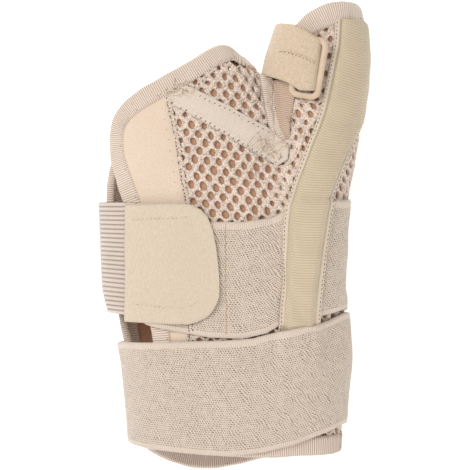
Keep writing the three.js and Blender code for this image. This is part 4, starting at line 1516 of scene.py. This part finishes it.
for line, seed in ((from_pixels((133, 219.5), (150, 218.5), (185, 217.5)), 123),
                   (from_pixels((133, 303), (160, 306.5), (184, 308)), 125)):
    plan_row(line, 1.9, 1.5, 0.13, LIGHT_STITCH, 8, lift=0.1, seed=seed, skip=0.05)
    plan_row(line + (0.3, -0.25), 1.9, 0.9, 0.13, SHADE_STITCH, 8, lift=0.0, seed=seed + 1)
plan_row(from_pixels((184, 308), (191, 306), (197, 302)), 1.7, 1.3, 0.13, LIGHT_STITCH, 8, lift=0.1,
         seed=127)

for spots, ups, column, height, every, length, radius, seed in (
        (rim_spots, rim_ups, 5, 1.0, 13, 0.45, 0.22, 131), (tip_spots, tip_ups, 4, 1.02, 14, 0.5, 0.24, 133)):
    edge_row(spots[:, column], ups[:, column], height, every, length, radius, SHADE_STITCH, True, seed)
    edge_row(spots[:, 6], ups[:, 6], 0.72, 3, 0.8, 0.13, LIGHT_STITCH, True, seed + 1)
sleeve_ups = sleeve_surface.normal(sleeve_index, sleeve_rows)
# Needle holes along both hems of the sleeve, dark as painted shade
for column, seed in ((2, 141), (COLUMNS - 3, 142)):
    edge_row(sleeve_top[:, column], sleeve_ups[:, column], 0.0, 6, 0.9, 0.17, HOLE_SHADE_STITCH, False, seed)
edge_row(sleeve_top[:, 1], sleeve_ups[:, 1], 0.0, 4, 0.9, 0.14, LIGHT_STITCH, True, 143)

loose_thread(from_pixels((164, 95), (169, 90), (177, 92), (180, 87), (174, 84), (186, 82), (192, 88)),
             radius=0.17, arch=0.6)
loose_thread(from_pixels((158, 92), (168, 96), (184, 94), (190, 99)), arch=0.3)
loose_thread(from_pixels((284, 166), (291, 163), (297, 155), (300, 146), (303, 136), (305, 128)),
             radius=0.19, arch=0.8)
loose_thread(from_pixels((247, 150), (255, 141), (264, 137), (272, 140)), arch=0.4)
fluff = np.random.default_rng(151)
for middle, spread, count in (((271, 147), (13, 11), 60), ((178, 92), (14, 7), 30), ((292, 120), (6, 9), 18)):
    for _ in range(count):
        x, y = np.array(middle) + fluff.normal(size=2) * np.array(spread) * 0.55
        heading, bend = fluff.random() * 6.3, fluff.normal() * 0.9
        reach = 3.0 + 3.5 * fluff.random()
        pixels = [(x + reach * t * math.cos(heading + bend * t), y + reach * t * math.sin(heading + bend * t))
                  for t in np.linspace(-0.5, 0.5, 4)]
        loose_thread(from_pixels(*pixels), 0.09 + 0.04 * fluff.random(), 0.12, 0.35,
                     mark=LIGHT_STITCH if fluff.random() < 0.72 else SHADE_STITCH)
stitching = finish_piece(sewing.make("stitching", THREAD, NEEDLE_HOLE_SHADE, SHADOW_THREAD))


# Floor, light and camera

def build_floor():
    size = 3.0
    mesh = bpy.data.meshes.new("floor")
    corners = [(-size, -size, 0), (size, -size, 0), (size, size, 0), (-size, size, 0)]
    mesh.from_pydata(corners, [], [(0, 1, 2, 3)])
    floor = bpy.data.objects.new("floor", mesh)
    bpy.context.scene.collection.objects.link(floor)
    ground = bpy.data.materials.new("pale_floor")
    ground.use_nodes = True
    shader = ground.node_tree.nodes["Principled BSDF"]
    shader.inputs["Base Color"].default_value = (0.985, 0.985, 0.985, 1)
    shader.inputs["Roughness"].default_value = 0.9
    shader.inputs["Emission Color"].default_value = (1, 1, 1, 1)
    shader.inputs["Emission Strength"].default_value = 0.35
    mesh.materials.append(ground)


def add_light(name, place, size, power):
    light = bpy.data.lights.new(name, "AREA")
    light.size, light.energy = size, power
    lamp = bpy.data.objects.new(name, light)
    lamp.location = place
    toward = -np.array(place, float)
    lamp.rotation_mode = "QUATERNION"
    lamp.rotation_quaternion = Vector(toward.tolist()).to_track_quat("-Z", "Y")
    bpy.context.scene.collection.objects.link(lamp)


build_floor()
add_light("key_light", (-0.72, 0.62, 1.2), 0.8, 13.8)
add_light("fill_light", (0.3, -1.0, 0.6), 0.9, 5.6)
world = bpy.data.worlds.new("studio")
world.use_nodes = True
background = world.node_tree.nodes["Background"]
background.inputs["Color"].default_value = (1, 1, 1, 1)
background.inputs["Strength"].default_value = 0.68
bpy.context.scene.world = world
bpy.context.scene.view_settings.view_transform = "Standard"

camera_data = bpy.data.cameras.new("camera")
camera = bpy.data.objects.new("camera", camera_data)
# The camera's height and the height that fills the view, the width seen there, all in metres, and the sensor
DISTANCE, SHARP_HEIGHT, SEEN_WIDTH, SENSOR = 4.0, 0.042, 0.2048, 36
camera.location = (-0.0004, 0.0002, DISTANCE)
camera_data.sensor_fit = "HORIZONTAL"
camera_data.sensor_width = SENSOR
camera_data.lens = SENSOR * (DISTANCE - SHARP_HEIGHT) / SEEN_WIDTH
camera_data.clip_end = 20
bpy.context.scene.collection.objects.link(camera)
bpy.context.scene.camera = camera
